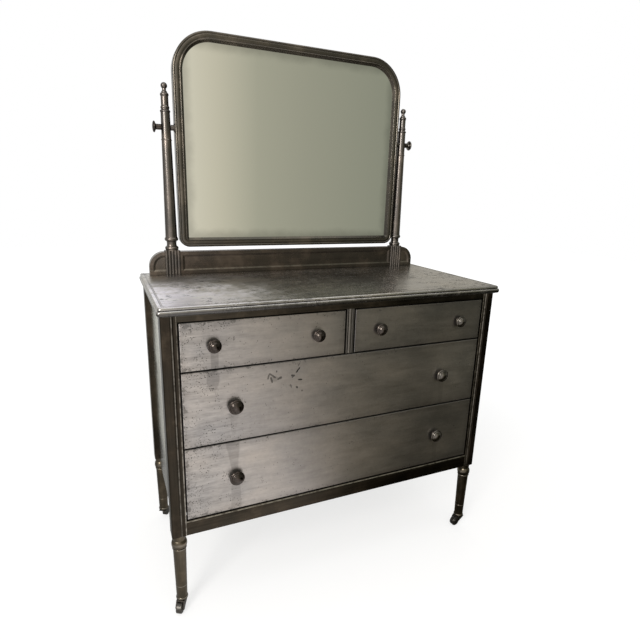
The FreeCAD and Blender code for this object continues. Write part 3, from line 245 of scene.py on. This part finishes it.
# Marks in the lacquer of the middle drawer: start, end, half width and strength
MARKS = (
    ((-0.2493, 0.6890), (-0.2456, 0.7055), 0.0032, 0.63),
    ((-0.2460, 0.7074), (-0.2246, 0.6902), 0.0032, 0.69),
    ((-0.2415, 0.6970), (-0.2356, 0.6775), 0.0032, 0.69),
    ((-0.2222, 0.6862), (-0.2080, 0.6920), 0.0040, 0.75),
    ((-0.1662, 0.6990), (-0.1535, 0.7145), 0.0025, 1.00),
    ((-0.1600, 0.7190), (-0.1537, 0.7285), 0.0022, 0.57),
    ((-0.1608, 0.6778), (-0.1470, 0.6762), 0.0025, 1.00),
    ((-0.1812, 0.6935), (-0.1692, 0.6906), 0.0030, 0.86),
    ((-0.1790, 0.6858), (-0.1700, 0.6912), 0.0025, 0.75),
    ((-0.1828, 0.6670), (-0.1781, 0.6550), 0.0030, 0.52),
    ((-0.1645, 0.6524), (-0.1608, 0.6566), 0.0042, 0.92),
    ((-0.2256, 0.7110), (-0.2220, 0.7102), 0.0037, 0.80),
    ((-0.1480, 0.6395), (-0.1448, 0.6440), 0.0037, 0.57),
    ((-0.2640, 0.6770), (-0.2615, 0.6768), 0.0025, 0.52),
)
# How a mark fades: across it in half widths, and from its middle, where it first narrows
MARK_SIDES, MARK_ENDS, MARK_TAPER = (0.6, 1.1), (0.50, 0.56), (0.30, 0.56)

# Painted highlight lines, each with its place, half width and strength. Across the front posts: two
# lines on both, measured from the chest's middle, and a band on the right one. Only their fronts
# have them
POST_LINES = ((0.4986, 0.0022, 0.45), (0.4866, 0.0020, 1.0))
POST_BAND = ((0.4930, 0.0080, 0.50),)
POST_SKIN = (-0.237, -0.234)
# Round the legs, painted highlight lines: rings, ferrules and collars
LEG_LINES = ((0.0850, 0.0014, 1.0), (0.0440, 0.0014, 1.0), (0.2112, 0.0016, 1.0),
             (0.2545, 0.0014, 1.0), (0.2270, 0.0060, 0.35))
# Painted highlight along the lower border of the backboard's panels, on its front alone
BOARD_LINES = ((top_high.z + 0.0145, 0.0024, 0.40),)
BOARD_SKIN = (board_face + 0.003, board_face + 0.004)
# Painted highlight along the bead at the top of the bottom rail
RAIL_LINES = ((rail_top - 0.0027, 0.0020, 1.0),)
# Across the centre stile, from its middle: the grime in its grooves
STILE_GROOVES = ((0.0078, 0.0030, 1.0), (0.0124, 0.0022, 1.0))
# The uprights are duller below a height, and change over a short way
HARP_DULL_BELOW, DULL_FADE = 0.993, 0.002
# The side panels are darker up to a height, a painted reflection: where the darkening begins to
# fade, ends, and its strength
SIDE_DARK_REFLECTION = (0.36, 0.45, 0.78)

# The top's flat part, fine line, groove, rim and underside; the line, groove and underside carry
# painted shade
FLAT_PART = (top_high.z - 0.0012, top_high.z - 0.0002)
TOP_LINE = (0.014, 0.0022)
TOP_GROOVE = (top_high.z - 0.0075, 0.0020)
TOP_RIM = (0.002, 0.016)
UNDERSIDE = (top_low.z + 0.0085, top_low.z + 0.0140)
# The painted shade in the corner between the top and the backboard: in front of its face, and along
# x
CORNER_GAP, CORNER_DEPTH, CORNER_ENDS = 0.003, (0.004, 0.009), (0.498, 0.506)
# Patches on the top, a haze with a painted sheen and dust: middle, reach and softness
HAZE_AND_PAINTED_SHEEN = ((-0.46, -0.150), (0.35, 0.27), 0.90)
DUST = ((-0.40, 0.02), (0.34, 0.21), 0.80)
# Scuffs and flakes are thickest in the middle of the top, and at the back left
TOP_MIDDLE, TOP_MIDDLE_REACH = -0.04, (0.16, 0.46)
BACK_PART, LEFT_PART = (-0.06, 0.10), (-0.10, 0.12)

# The knobs are painted lighter to the right, along x, as painted light
KNOB_PAINTED_LIGHT = (0.02, 0.30)
# The mirror's silvering is hazed this near to its edge
SILVER_EDGE = (0.004, 0.04)

# Scales of the noises that draw a dark steel's lines and a sheet's grain, across and along them
LINE_SCALES, FINE_LINE_SCALES, GRAIN_SCALES = (120.0, 4.0), (600.0, 12.0), (70.0, 4.0)
# A dark steel with no more lines than this is smooth: it has no relief and no specks
LIGHTLY_LINED = 0.4

WHITE = (1.0, 1.0, 1.0)
COOL_FRONT, WARM_FRONT = (0.405, 0.392, 0.386), (0.448, 0.404, 0.362)
# The third colour is the painted sheen on the top's hazed end
COOL_TOP, WARM_TOP, PAINTED_SHEEN_TOP = (0.435, 0.42, 0.405), (0.44, 0.41, 0.365), (0.48, 0.465, 0.50)
# What a dark steel's red, green and blue are multiplied by where it is warmer
WARMER = (1.06, 0.99, 0.94)
# The colour of the painted highlight lines
HIGHLIGHT_STEEL = (0.42, 0.39, 0.34)
STILE_STEEL, SILVERING = (0.170, 0.157, 0.138), (0.80, 0.81, 0.76)
# Black knob metal, and the lighter knob colour painted on to the right as painted light
BLACK_KNOB, LIT_KNOB = (0.080, 0.067, 0.059), (0.145, 0.134, 0.118)
DARK_FIBRE, PALE_FIBRE = (0.30, 0.21, 0.13), (0.42, 0.31, 0.20)


# --- Marks --------------------------------------------------------------------------------------

def soft_line(axis, middle, half_width):
    """1 at a place along an axis, falling smoothly to 0 a half width away."""
    return abs(axis - middle).fall(0.0, half_width)


def soft_lines(axis, lines):
    """Some soft lines, each with its place, half width and strength."""
    return strongest(*(soft_line(axis, middle, half_width) * strength
                       for middle, half_width, strength in lines))


def patch(x, z, wobble, middle, reach, softness=STAIN_SOFTNESS):
    """An oval patch for stains, dust, painted shade and light and a painted sheen: 1 inside, 0
    outside, with an edge pushed about by a noise.
    """
    across = (x - middle[0]) / reach[0]
    up = (z - middle[1]) / reach[1]
    distance = (across * across + up * up) ** 0.5 + wobble
    return distance.fall(1.0 - softness, 1.0)


def tapered_trail(x, z, wobble, top, foot):
    """The trail of a drip stain with a painted knob reflection between two places, each with its
    own half width.
    """
    share = (z - foot[1]) / (top[1] - foot[1])
    middle = share * (top[0] - foot[0]) + foot[0]
    half_width = share * (top[2] - foot[2]) + foot[2]
    inside = (abs(x - middle) / half_width + wobble).fall(*TRAIL_SIDES)
    return inside * share.rise(*TRAIL_FOOT) * share.fall(*TRAIL_TOP)


def stroke(x, z, wobble, start, end, half_width):
    """A short ragged mark from one place to another, narrower towards its ends."""
    run, climb = end[0] - start[0], end[1] - start[1]
    length = math.hypot(run, climb)
    run, climb = run / length, climb / length
    share = ((x - start[0]) * run + (z - start[1]) * climb) / length
    across = abs((x - start[0]) * climb - (z - start[1]) * run) / half_width + wobble
    from_middle = abs(share - 0.5)
    taper = 1.0 - from_middle.rise(*MARK_TAPER) * 0.9
    return (across / taper).fall(*MARK_SIDES) * from_middle.fall(*MARK_ENDS)


def post_highlights(x, y, z):
    """Painted highlight lines along the front posts' beads, and a painted highlight band on the
    right post.
    """
    return soft_lines(abs(x), POST_LINES).more(soft_lines(x, POST_BAND)) * y.fall(*POST_SKIN)


def leg_highlights(x, y, z):
    """Painted highlight lines round the legs' rings, ferrules and collars."""
    return soft_lines(z, LEG_LINES)


def board_highlight(x, y, z):
    """A painted highlight line along the lower border of the backboard's pressed panels."""
    return soft_lines(z, BOARD_LINES) * y.fall(*BOARD_SKIN)


def rail_highlight(x, y, z):
    """A painted highlight line along the bead at the top of the bottom rail."""
    return soft_lines(z, RAIL_LINES)


# --- Finishes -----------------------------------------------------------------------------------

def front_steel(node):
    """Bare lacquered sheet: cloudy and smeared along its width, with pits, drip stains and scrapes,
    painted knob reflections below the knobs, wide painted shade and light, a painted highlight on
    its worn left rim and painted shade along its gaps.
    """
    low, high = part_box(node)
    finish = Finish(f"steel_{node}")
    x, _, z = finish.axes()
    clouds = finish.noise(5.5, detail=5.0, roughness=0.58, stretch=(1.0, 1.0, 1.5))
    smears = finish.noise(detail=6.0, roughness=0.68, stretch=(9.0, 9.0, 64.0))
    swipes = finish.noise(detail=5.0, roughness=0.64, stretch=(24.0, 24.0, 190.0))
    grain = finish.noise(detail=3.0, roughness=0.6, stretch=(30.0, 30.0, 1100.0))
    mottle = finish.noise(95.0, detail=4.0, roughness=0.66)

    left_gap = x - low.x
    level_edge = nearest(z - low.z, high.z - z)
    near_edge = nearest(nearest(left_gap, high.x - x), level_edge)
    far_left = x.fall(*FAR_LEFT)
    near_left = x.fall(*NEAR_LEFT)
    # The worn left rim also carries a painted highlight
    worn_rim_and_highlight = left_gap.fall(*WORN_RIM_AND_HIGHLIGHT) * swipes.rise(0.40, 0.56) * far_left
    # Painted shade along the gaps at the top, bottom and left edges
    painted_gap_shade = level_edge.fall(*GAP_SHADE).more(left_gap.fall(*LEFT_GAP_SHADE) * (1.0 - far_left))
    rim_grime = near_edge.fall(*RIM_GRIME)

    pit_share = 0.31 + near_left * 0.19 + rim_grime * 0.16
    pitted = finish.noise(24.0, detail=4.0, roughness=0.62).fall(pit_share - 0.02, pit_share + 0.02)
    pits = finish.cells(200.0).fall(0.15, 0.31) * pitted
    rust_share = 0.28 + rim_grime * (0.08 + near_left * 0.07) + far_left * 0.03
    rust = finish.noise(52.0, detail=4.0, roughness=0.7).fall(rust_share - 0.02, rust_share + 0.03)
    speckle = finish.specks(90.0, (0.07, 0.11), 9.0, (0.46, 0.50))
    marks = strongest(pits, speckle * 0.9, rust * 0.45)

    tone = (1.0 + clouds.swing(0.70) + smears.swing(0.42 + near_left * 0.80)
            + swipes.swing(0.22 + near_left * 0.55) + grain.swing(0.16) + mottle.swing(0.26))
    wobble = mottle.swing(0.20) + clouds.swing(0.2)
    # Drip stains, with painted shade and reflections of the knobs below them
    for drawer, top, foot, strength in DRIPS_AND_KNOB_REFLECTIONS:
        if node == f"{drawer}_front":
            tone = tone.darkened(tapered_trail(x, z, wobble, top, foot), strength)
    # Wide soft painted shade and painted light
    for drawer, middle, reach, strength in PAINTED_SHADE_AND_LIGHT:
        if node == f"{drawer}_front":
            tone = tone.darkened(patch(x, z, wobble, middle, reach, PAINTED_SHADE_SOFTNESS), strength)
    if node == "middle_drawer_front":
        for middle, reach, strength in PATCHES:
            tone = tone.darkened(patch(x, z, wobble, middle, reach), strength)
        ragged = mottle.swing(1.4)
        for start, end, half_width, strength in MARKS:
            marks = marks.more(stroke(x, z, ragged, start, end, half_width) * strength)
    tone = tone.darkened(rim_grime, 0.14) + worn_rim_and_highlight * 0.35
    tone = tone.darkened(painted_gap_shade, 0.60).darkened(marks, 0.82)

    warmth = clouds.swing(1.6) + 0.5
    rough = 0.37 + clouds.swing(0.14) + smears.swing(0.14) + marks * 0.25
    relief = finish.bump(grain, depth=0.00008)
    relief = finish.bump(smears, depth=0.0005, below=relief)
    relief = finish.bump(1.0 - marks, depth=0.0003, below=relief)
    finish.surface(Anisotropic=0.6, Anisotropic_Rotation=0.25)
    return finish.metal(finish.mix(warmth.held(), COOL_FRONT, WARM_FRONT), tone, rough, relief)


def drawn(along, across_scale, along_scale):
    """How to stretch a noise into lines that run along some axes."""
    return [along_scale if axis in along else across_scale for axis in "xyz"]


def dark_steel(name, along, colour=(0.050, 0.043, 0.033), wear=0.3, roughness=0.27, lined=1.0,
               highlights=None, dull_below=None):
    """Dark gun-coloured steel with fine lines along the piece, lighter worn patches, and painted
    highlight lines where they are given.
    """
    finish = Finish(name)
    lines = finish.noise(detail=4.0, roughness=0.6, stretch=drawn(along, *LINE_SCALES))
    clouds = finish.noise(13.0, detail=5.0, roughness=0.62)
    tone = 0.9 + lines.swing(0.9 * lined) + clouds.swing(0.7)
    rough = roughness + clouds.swing(0.20) + lines.swing(0.12 * lined)
    relief = None
    if lined > LIGHTLY_LINED:
        fine = finish.noise(detail=2.0, roughness=0.6, stretch=drawn(along, *FINE_LINE_SCALES))
        specks = finish.specks(420.0, (0.08, 0.2), 30.0, (0.56, 0.64))
        tone = (tone + fine.swing(0.5 * lined)).darkened(specks, 0.5 * lined)
        rough = rough + specks * (0.2 * lined)
        relief = finish.bump(lines, depth=0.00012 * lined)
    tone = tone + clouds.rise(0.50, 0.68) * wear
    if dull_below:
        _, _, z = finish.axes()
        dull = z.fall(dull_below - DULL_FADE, dull_below)
        tone = tone.darkened(dull, 0.30)
        rough = rough + dull * 0.22
    warmer = tuple(part * factor for part, factor in zip(colour, WARMER))
    steel = finish.tint(finish.mix(clouds.rise(0.35, 0.65), colour, warmer), tone)
    # Painted highlight lines, broken up by a noise
    if highlights:
        broken = finish.noise(60.0, detail=4.0, roughness=0.6).rise(0.36, 0.58)
        steel = finish.mix(highlights(*finish.axes()) * (0.30 + broken * 0.70), steel, HIGHLIGHT_STEEL)
    return finish.surface(Base_Color=steel, Metallic=1.0, Roughness=rough.held(), Normal=relief)


def top_steel():
    """The top's sheet: hazed with a painted silvery sheen at one end, with scales, scuffs and
    scratches, and painted shade in its line and groove, under its edge and in the corner by the
    backboard.
    """
    finish = Finish("top_steel")
    x, y, z = finish.axes()
    scratches = finish.noise(detail=5.0, roughness=0.66, stretch=(5.0, 110.0, 40.0))
    brushing = finish.noise(detail=4.0, roughness=0.66, stretch=(16.0, 420.0, 60.0))
    clouds = finish.noise(5.0, detail=5.0, roughness=0.6)
    mottle = finish.noise(42.0, detail=5.0, roughness=0.7)
    scuffs = finish.noise(detail=5.0, roughness=0.68, stretch=(11.0, 26.0, 11.0)).rise(0.47, 0.60)
    hatching = finish.noise(detail=4.0, roughness=0.72, stretch=(60.0, 170.0, 60.0))
    hatching = hatching.rise(0.57, 0.63)
    scales = finish.noise(detail=5.0, roughness=0.74, stretch=(34.0, 60.0, 34.0)).rise(0.55, 0.60)
    flaked = finish.noise(8.0, detail=3.0, roughness=0.6).rise(0.42, 0.56)
    specks = finish.specks(150.0, (0.08, 0.15), 10.0, (0.48, 0.54))

    middle = abs(x - TOP_MIDDLE).fall(*TOP_MIDDLE_REACH)
    back_left = y.rise(*BACK_PART) * x.fall(*LEFT_PART)
    flakes = strongest(hatching * flaked * (0.45 + middle * 0.55), scales * flaked * 0.9,
                       hatching * back_left * 0.8)

    near_edge = nearest(x - top_low.x, top_high.x - x, y - top_low.y)
    flat = z.rise(*FLAT_PART)
    rubbed = near_edge.fall(*TOP_RIM) * (1.0 - flat * 0.5)
    painted_line_shade = soft_line(near_edge, *TOP_LINE) * flat
    painted_groove_shade = soft_line(z, *TOP_GROOVE)
    painted_underside_shade = z.fall(*UNDERSIDE)
    wobble = clouds.swing(1.4) + mottle.swing(1.3) + scratches.swing(0.6)
    # Hazed lacquer, rougher, with a painted silvery sheen
    haze_and_painted_sheen = patch(x, y, wobble, *HAZE_AND_PAINTED_SHEEN) * flat
    dusty = patch(x, y, wobble * 0.6, *DUST) * flat
    painted_corner_shade = abs(board_face - y - CORNER_GAP).fall(*CORNER_DEPTH) * abs(x).fall(*CORNER_ENDS)

    tone = (0.92 + scratches.swing(0.55) + brushing.swing(0.34) + clouds.swing(0.6)
            + mottle.swing(0.50))
    tone = (tone + rubbed * 0.15).darkened(scuffs, 0.12 + middle * 0.22) + haze_and_painted_sheen * 1.20
    # Flakes and specks are marks; the line, the groove, the underside and the corner get painted
    # shade
    for mask, strength in ((flakes * flat, 0.74), (specks * flat, 0.50), (painted_line_shade, 0.72),
                           (painted_groove_shade, 0.80), (painted_underside_shade, 0.74), (painted_corner_shade, 0.80)):
        tone = tone.darkened(mask, strength)
    steel = finish.mix(clouds.rise(0.35, 0.65), COOL_TOP, WARM_TOP)
    rough = (0.25 + clouds.swing(0.2) + mottle.swing(0.16) + flakes * 0.2 + haze_and_painted_sheen * 0.20
             + dusty * 0.12)
    relief = finish.bump(scratches, depth=0.00018)
    relief = finish.bump(1.0 - flakes, depth=0.0002, below=relief)
    return finish.metal(finish.mix(haze_and_painted_sheen, steel, PAINTED_SHEEN_TOP), tone, rough, relief,
                        metallic=1.0 - dusty * 0.14)


def sheet_steel(name, colour, roughness, along="z", grime_and_painted_shade=None):
    """Plain rolled sheet with a faint grain, stains and scratches, perhaps with a painted
    reflection that makes it darker up to a height.
    """
    finish = Finish(name)
    grain = finish.noise(detail=3.0, roughness=0.6, stretch=drawn(along, *GRAIN_SCALES))
    clouds = finish.noise(3.4, detail=5.0, roughness=0.58)
    stains = finish.noise(11.0, detail=4.0, roughness=0.66).rise(0.56, 0.70)
    tone = 0.9 + grain.swing(0.25) + clouds.swing(0.5) - stains * 0.14
    # Darker up to a height: on the side panels this is a painted reflection
    if grime_and_painted_shade:
        start, end, strength = grime_and_painted_shade
        _, _, z = finish.axes()
        height = z + clouds.swing(0.12)
        tone = tone.darkened(height.fall(start, end), strength)
    rough = roughness + clouds.swing(0.22) + grain.swing(0.08) + stains * 0.06
    relief = finish.bump(grain, depth=0.00012)
    relief = finish.bump(clouds, depth=0.002, below=relief)
    return finish.metal(colour, tone, rough, relief)


def stile_steel():
    """Bare sheet, darker than the drawers' fronts, with grime down its grooves."""
    finish = Finish("stile_steel")
    x, _, _ = finish.axes()
    clouds = finish.noise(16.0, detail=5.0, roughness=0.6)
    streaks = finish.noise(detail=4.0, roughness=0.6, stretch=(260.0, 260.0, 9.0))
    grime_and_painted_shade = soft_lines(abs(x), STILE_GROOVES)
    tone = (0.95 + clouds.swing(0.5) + streaks.swing(0.5)).darkened(grime_and_painted_shade, 0.85)
    return finish.metal(STILE_STEEL, tone, 0.46 + clouds.swing(0.2) + grime_and_painted_shade * 0.2)


def knob_metal():
    """Near-black metal, blotched and polished in places, painted lighter towards the right as
    painted light.
    """
    finish = Finish("knob_metal")
    x, _, _ = finish.axes()
    clouds = finish.noise(85.0, detail=4.0, roughness=0.62)
    grime_and_painted_shade = finish.noise(260.0, detail=3.0, roughness=0.6)
    tone = 0.9 + clouds.swing(1.5) + grime_and_painted_shade.swing(0.8)
    rough = 0.14 + clouds.swing(0.14) + grime_and_painted_shade.swing(0.10)
    # Painted light: the knobs on the right are lighter
    metal = finish.mix(x.rise(*KNOB_PAINTED_LIGHT), BLACK_KNOB, LIT_KNOB)
    return finish.metal(metal, tone, rough, finish.bump(clouds, depth=0.0005))


def hardware_steel(name, colour, roughness):
    """Small dull fittings, slightly blotched."""
    finish = Finish(name)
    clouds = finish.noise(90.0, detail=4.0, roughness=0.6)
    tone = 0.9 + clouds.swing(0.9)
    rough = roughness + clouds.swing(0.25)
    return finish.metal(colour, tone, rough, finish.bump(clouds, depth=0.0003), metallic=0.95)


def mirror_silver():
    """Old silvering: clear in the middle, slightly hazed and spotted towards the frame."""
    low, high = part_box("mirror_glass")
    finish = Finish("mirror_silver")
    x, _, z = finish.axes()
    near_edge = nearest(x - low.x, high.x - x, z - low.z, high.z - z)
    clouds = finish.noise(14.0, detail=4.0, roughness=0.6)
    edge = (near_edge + clouds.swing(0.03)).fall(*SILVER_EDGE)
    spots = finish.specks(120.0, (0.05, 0.16), 20.0, (0.60, 0.70))
    tone = 1.0 - edge * 0.30 - spots * edge * 0.5
    return finish.metal(SILVERING, tone, 0.012 + edge * 0.05 + spots * edge * 0.2)


def core_board():
    """Brown fibreboard inside the top."""
    finish = Finish("core_board")
    grain = finish.noise(detail=4.0, roughness=0.6, stretch=(8.0, 90.0, 90.0))
    clouds = finish.noise(12.0, detail=4.0, roughness=0.6)
    colour = finish.tint(finish.mix(grain, DARK_FIBRE, PALE_FIBRE), 0.85 + clouds.swing(0.5))
    return finish.surface(Base_Color=colour, Roughness=0.75,
                          Normal=finish.bump(grain, depth=0.0004))


def dress(material, *names):
    """Give some nodes a finish."""
    for name in names:
        nodes[name].material_slots[0].material = material


def each(labels, piece):
    """The names of a piece that comes once for every drawer or every corner."""
    return [f"{label}_{piece}" for label in labels]


def finish_everything():
    """Give every node its finish."""
    for name in each(DRAWERS, "front"):
        dress(front_steel(name), name)
    dress(stile_steel(), "centre_stile")
    dress(top_steel(), "top_panel")
    dress(dark_steel("post_steel", "z", (0.044, 0.037, 0.028), wear=0.6, roughness=0.30,
                     highlights=post_highlights), *each(CORNERS, "post"))
    # The legs' dark steel is painted lighter than the posts' to stand in for the highlights along
    # them
    dress(dark_steel("leg_steel", "z", (0.125, 0.108, 0.080), wear=0.4, roughness=0.30, lined=0.8,
                     highlights=leg_highlights), *each(CORNERS, "leg"))
    dress(dark_steel("apron_steel", "x", (0.062, 0.055, 0.043), wear=0.4, roughness=0.30),
          "apron_rail")
    dress(dark_steel("rail_steel", "x", wear=0.4, roughness=0.30, highlights=rail_highlight),
          "bottom_front_rail")
    # The uprights' dark steel is painted lighter to stand in for the bright reflections along them
    dress(dark_steel("harp_steel", "z", (0.165, 0.151, 0.138), roughness=0.28, lined=0.3,
                     dull_below=HARP_DULL_BELOW),
          "left_harp_post", "right_harp_post", "harp_finials", "mirror_pivots")
    dress(dark_steel("backboard_steel", "x", (0.112, 0.097, 0.085), lined=0.5, highlights=board_highlight),
          "backboard")
    dress(dark_steel("end_steel", "z", (0.165, 0.147, 0.131), lined=0.5, highlights=board_highlight),
          "backboard_ends")
    dress(dark_steel("frame_steel", "xz", (0.112, 0.104, 0.089), lined=0.2), "mirror_frame")
    # The side panels' pale, cream-tinted colour is partly painted reflection, and their lower part
    # is painted darker
    dress(sheet_steel("side_steel", (0.97, 0.97, 0.84), 0.16, grime_and_painted_shade=SIDE_DARK_REFLECTION),
          "left_side_panel", "right_side_panel")
    dress(sheet_steel("back_steel", (0.16, 0.15, 0.135), 0.42), "back_panel", "mirror_back")
    dress(sheet_steel("inner_steel", (0.22, 0.21, 0.19), 0.40, along="x"),
          "side_rails", "rear_rails", "divider_rails", "side_runners", "centre_runner",
          *each(DRAWERS, "box"))
    dress(knob_metal(), "left_thumb_screw", "right_thumb_screw", *each(DRAWERS, "knobs"))
    dress(hardware_steel("hardware_steel", (0.32, 0.30, 0.27), 0.35),
          "harp_bolts", "mirror_back_clips", "caster_sockets", *each(DRAWERS, "knob_screws"))
    dress(hardware_steel("caster_steel", (0.075, 0.066, 0.056), 0.36),
          *each(CORNERS, "caster_fork"))
    dress(hardware_steel("wheel_steel", (0.12, 0.112, 0.10), 0.40), *each(CORNERS, "wheel"))
    dress(mirror_silver(), "mirror_glass")
    dress(core_board(), "top_core_board")


# --- Studio -------------------------------------------------------------------------------------

# Colours that the metal reflects, by the way round the chest in degrees: 0 is in front of it and
# 90 is to its right. The walls, then the floor.
WALLS = ((-180, (1.0, 1.0, 0.97)), (-150, (0.45, 0.45, 0.44)), (-110, (0.40, 0.40, 0.39)),
         (-60, (0.80, 0.79, 0.77)), (-30, (1.0, 0.99, 0.96)), (2, (0.98, 0.94, 0.84)),
         (12, (0.66, 0.62, 0.51)), (17, (0.44, 0.43, 0.35)), (22, (0.38, 0.375, 0.305)),
         (34, (0.28, 0.29, 0.235)), (60, (0.24, 0.24, 0.20)), (90, (0.34, 0.34, 0.31)),
         (120, (0.30, 0.30, 0.28)), (134, (0.52, 0.50, 0.45)), (145, (0.60, 0.57, 0.50)),
         (149, (0.22, 0.205, 0.18)), (158, (0.15, 0.142, 0.125)), (163, (0.26, 0.25, 0.235)),
         (168, (0.56, 0.555, 0.55)), (173, (1.0, 1.0, 1.0)), (180, (1.0, 1.0, 0.98)))
FLOOR = ((-180, (0.66, 0.665, 0.63)), (-150, (0.45, 0.45, 0.44)), (-110, (0.30, 0.30, 0.29)),
         (-60, (0.55, 0.54, 0.53)), (-25, (1.0, 0.985, 0.985)), (-5, (1.0, 0.97, 0.97)),
         (9, (0.64, 0.60, 0.57)), (20, (0.19, 0.171, 0.131)), (30, (0.075, 0.068, 0.047)),
         (40, (0.026, 0.022, 0.013)), (50, (0.018, 0.015, 0.008)), (72, (0.10, 0.095, 0.078)),
         (110, (0.25, 0.25, 0.24)), (180, (0.66, 0.665, 0.63)))
# Overhead, the walls' colours give way to this one between two heights of a ray
CEILING, CEILING_RISE = (0.80, 0.80, 0.80), (0.60, 0.98)
# The floor: half its size, its glow, the least share of glow, and where it has faded to glow alone
FLOOR_HALF, FLOOR_GLOW, LEAST_GLOW, FLOOR_FADE = 9.0, 1.12, 0.60, (0.9, 2.6)
# The camera: where it stands, its right and up, its lens and film in millimetres, how far it sees
CAMERA_PLACE = (-0.6372, -1.4298, 1.1968)
CAMERA_RIGHT, CAMERA_UP = (0.9136, -0.4055, 0.0290), (0.0792, 0.2475, 0.9657)
LENS, FILM_WIDTH, SIGHT = 27.21, 36.0, 100.0


def by_direction(finish, x, y, colours):
    """A colour that depends on the way round the chest."""
    turn = finish.node("Math", {"operation": "ARCTAN2"}, x, y * -1.0)
    stops = [(0.5 + degrees / 360.0, colour) for degrees, colour in colours]
    return finish.node("ValToRGB", {"stops": stops}, turn / (2.0 * math.pi) + 0.5)


def seen_by_camera(finish):
    """1 for rays that come straight from the camera, and 0 for all others."""
    return finish.node("LightPath", output="Is Camera Ray")


class Surround(Finish):
    """The world's node tree, with the same calls as a material."""

    def __init__(self, world):
        world.use_nodes = True
        self.tree = world.node_tree
        self.shader = self.tree.nodes["Background"]
        self.coordinates = self.node("TexCoord", output="Generated")


def make_world():
    """Plain white to the camera. The metal sees walls whose colour changes round the chest."""
    world = bpy.data.worlds.new("studio")
    bpy.context.scene.world = world
    sky = Surround(world)
    x, y, z = sky.axes()
    room = sky.mix(z.rise(*CEILING_RISE), by_direction(sky, x, y, WALLS), CEILING)
    sky.feed(sky.shader.inputs["Color"], sky.mix(seen_by_camera(sky), room, WHITE))
    sky.feed(sky.shader.inputs["Strength"], 1.0)


def make_floor():
    """A pale floor that keeps the object's shadow and fades into the background."""
    mesh = bpy.data.meshes.new("floor")
    half = FLOOR_HALF
    corners = [(-half, -half, 0), (half, -half, 0), (half, half, 0), (-half, half, 0)]
    mesh.from_pydata(corners, [], [(0, 1, 2, 3)])
    floor = bpy.data.objects.new("floor", mesh)
    bpy.context.scene.collection.objects.link(floor)
    finish = Finish("pale_floor")
    x, y, _ = finish.axes()
    far = ((x * x + y * y) ** 0.5).rise(*FLOOR_FADE)
    grain = finish.noise(3.0)
    colour = finish.mix(seen_by_camera(finish), by_direction(finish, x, y, FLOOR), WHITE)
    finish.surface(Base_Color=finish.tint(colour, 1.0 - grain * 0.02), Roughness=0.9,
                   Specular_IOR_Level=0.0)
    matte = Socket(finish, finish.shader.outputs[0])
    glow = finish.node("Emission", None, Color=colour, Strength=FLOOR_GLOW)
    blend = finish.node("MixShader", None, LEAST_GLOW + far * (1.0 - LEAST_GLOW), matte, glow)
    finish.feed(finish.tree.nodes["Material Output"].inputs["Surface"], blend)
    mesh.materials.append(finish.material)


def soft_light(name, place, target, width, height, power, colour=WHITE):
    """A rectangular lamp that faces a target."""
    lamp = bpy.data.lights.new(name, "AREA")
    lamp.shape = "RECTANGLE"
    lamp.size, lamp.size_y = width, height
    lamp.energy = power
    lamp.color = colour
    holder = bpy.data.objects.new(name, lamp)
    bpy.context.scene.collection.objects.link(holder)
    holder.location = place
    holder.rotation_euler = (Vector(target) - Vector(place)).to_track_quat("-Z", "Y").to_euler()


def make_lights():
    """A large lamp at the front left, like a window, and a faint one overhead."""
    soft_light("window", place=(-2.6, -2.4, 2.4), target=(0.0, 0.0, 0.7), width=1.2, height=1.8,
               power=85.0, colour=(1.0, 0.98, 0.95))
    soft_light("overhead", place=(0.2, -0.6, 3.2), target=(0.0, 0.0, 0.9), width=2.4, height=1.6,
               power=10.0)


def make_camera():
    """A hand-held view from the front left, above the top and looking down a little."""
    right = Vector(CAMERA_RIGHT).normalized()
    back = right.cross(Vector(CAMERA_UP)).normalized()
    up = back.cross(right)
    turn = Matrix((right, up, back)).transposed().to_4x4()
    lens = bpy.data.cameras.new("camera")
    lens.lens = LENS
    lens.sensor_width = FILM_WIDTH
    lens.clip_end = SIGHT
    camera = bpy.data.objects.new("camera", lens)
    camera.matrix_world = Matrix.Translation(CAMERA_PLACE) @ turn
    bpy.context.scene.collection.objects.link(camera)
    bpy.context.scene.camera = camera


finish_everything()
make_world()
make_floor()
make_lights()
make_camera()
bpy.context.scene.view_settings.view_transform = "Standard"
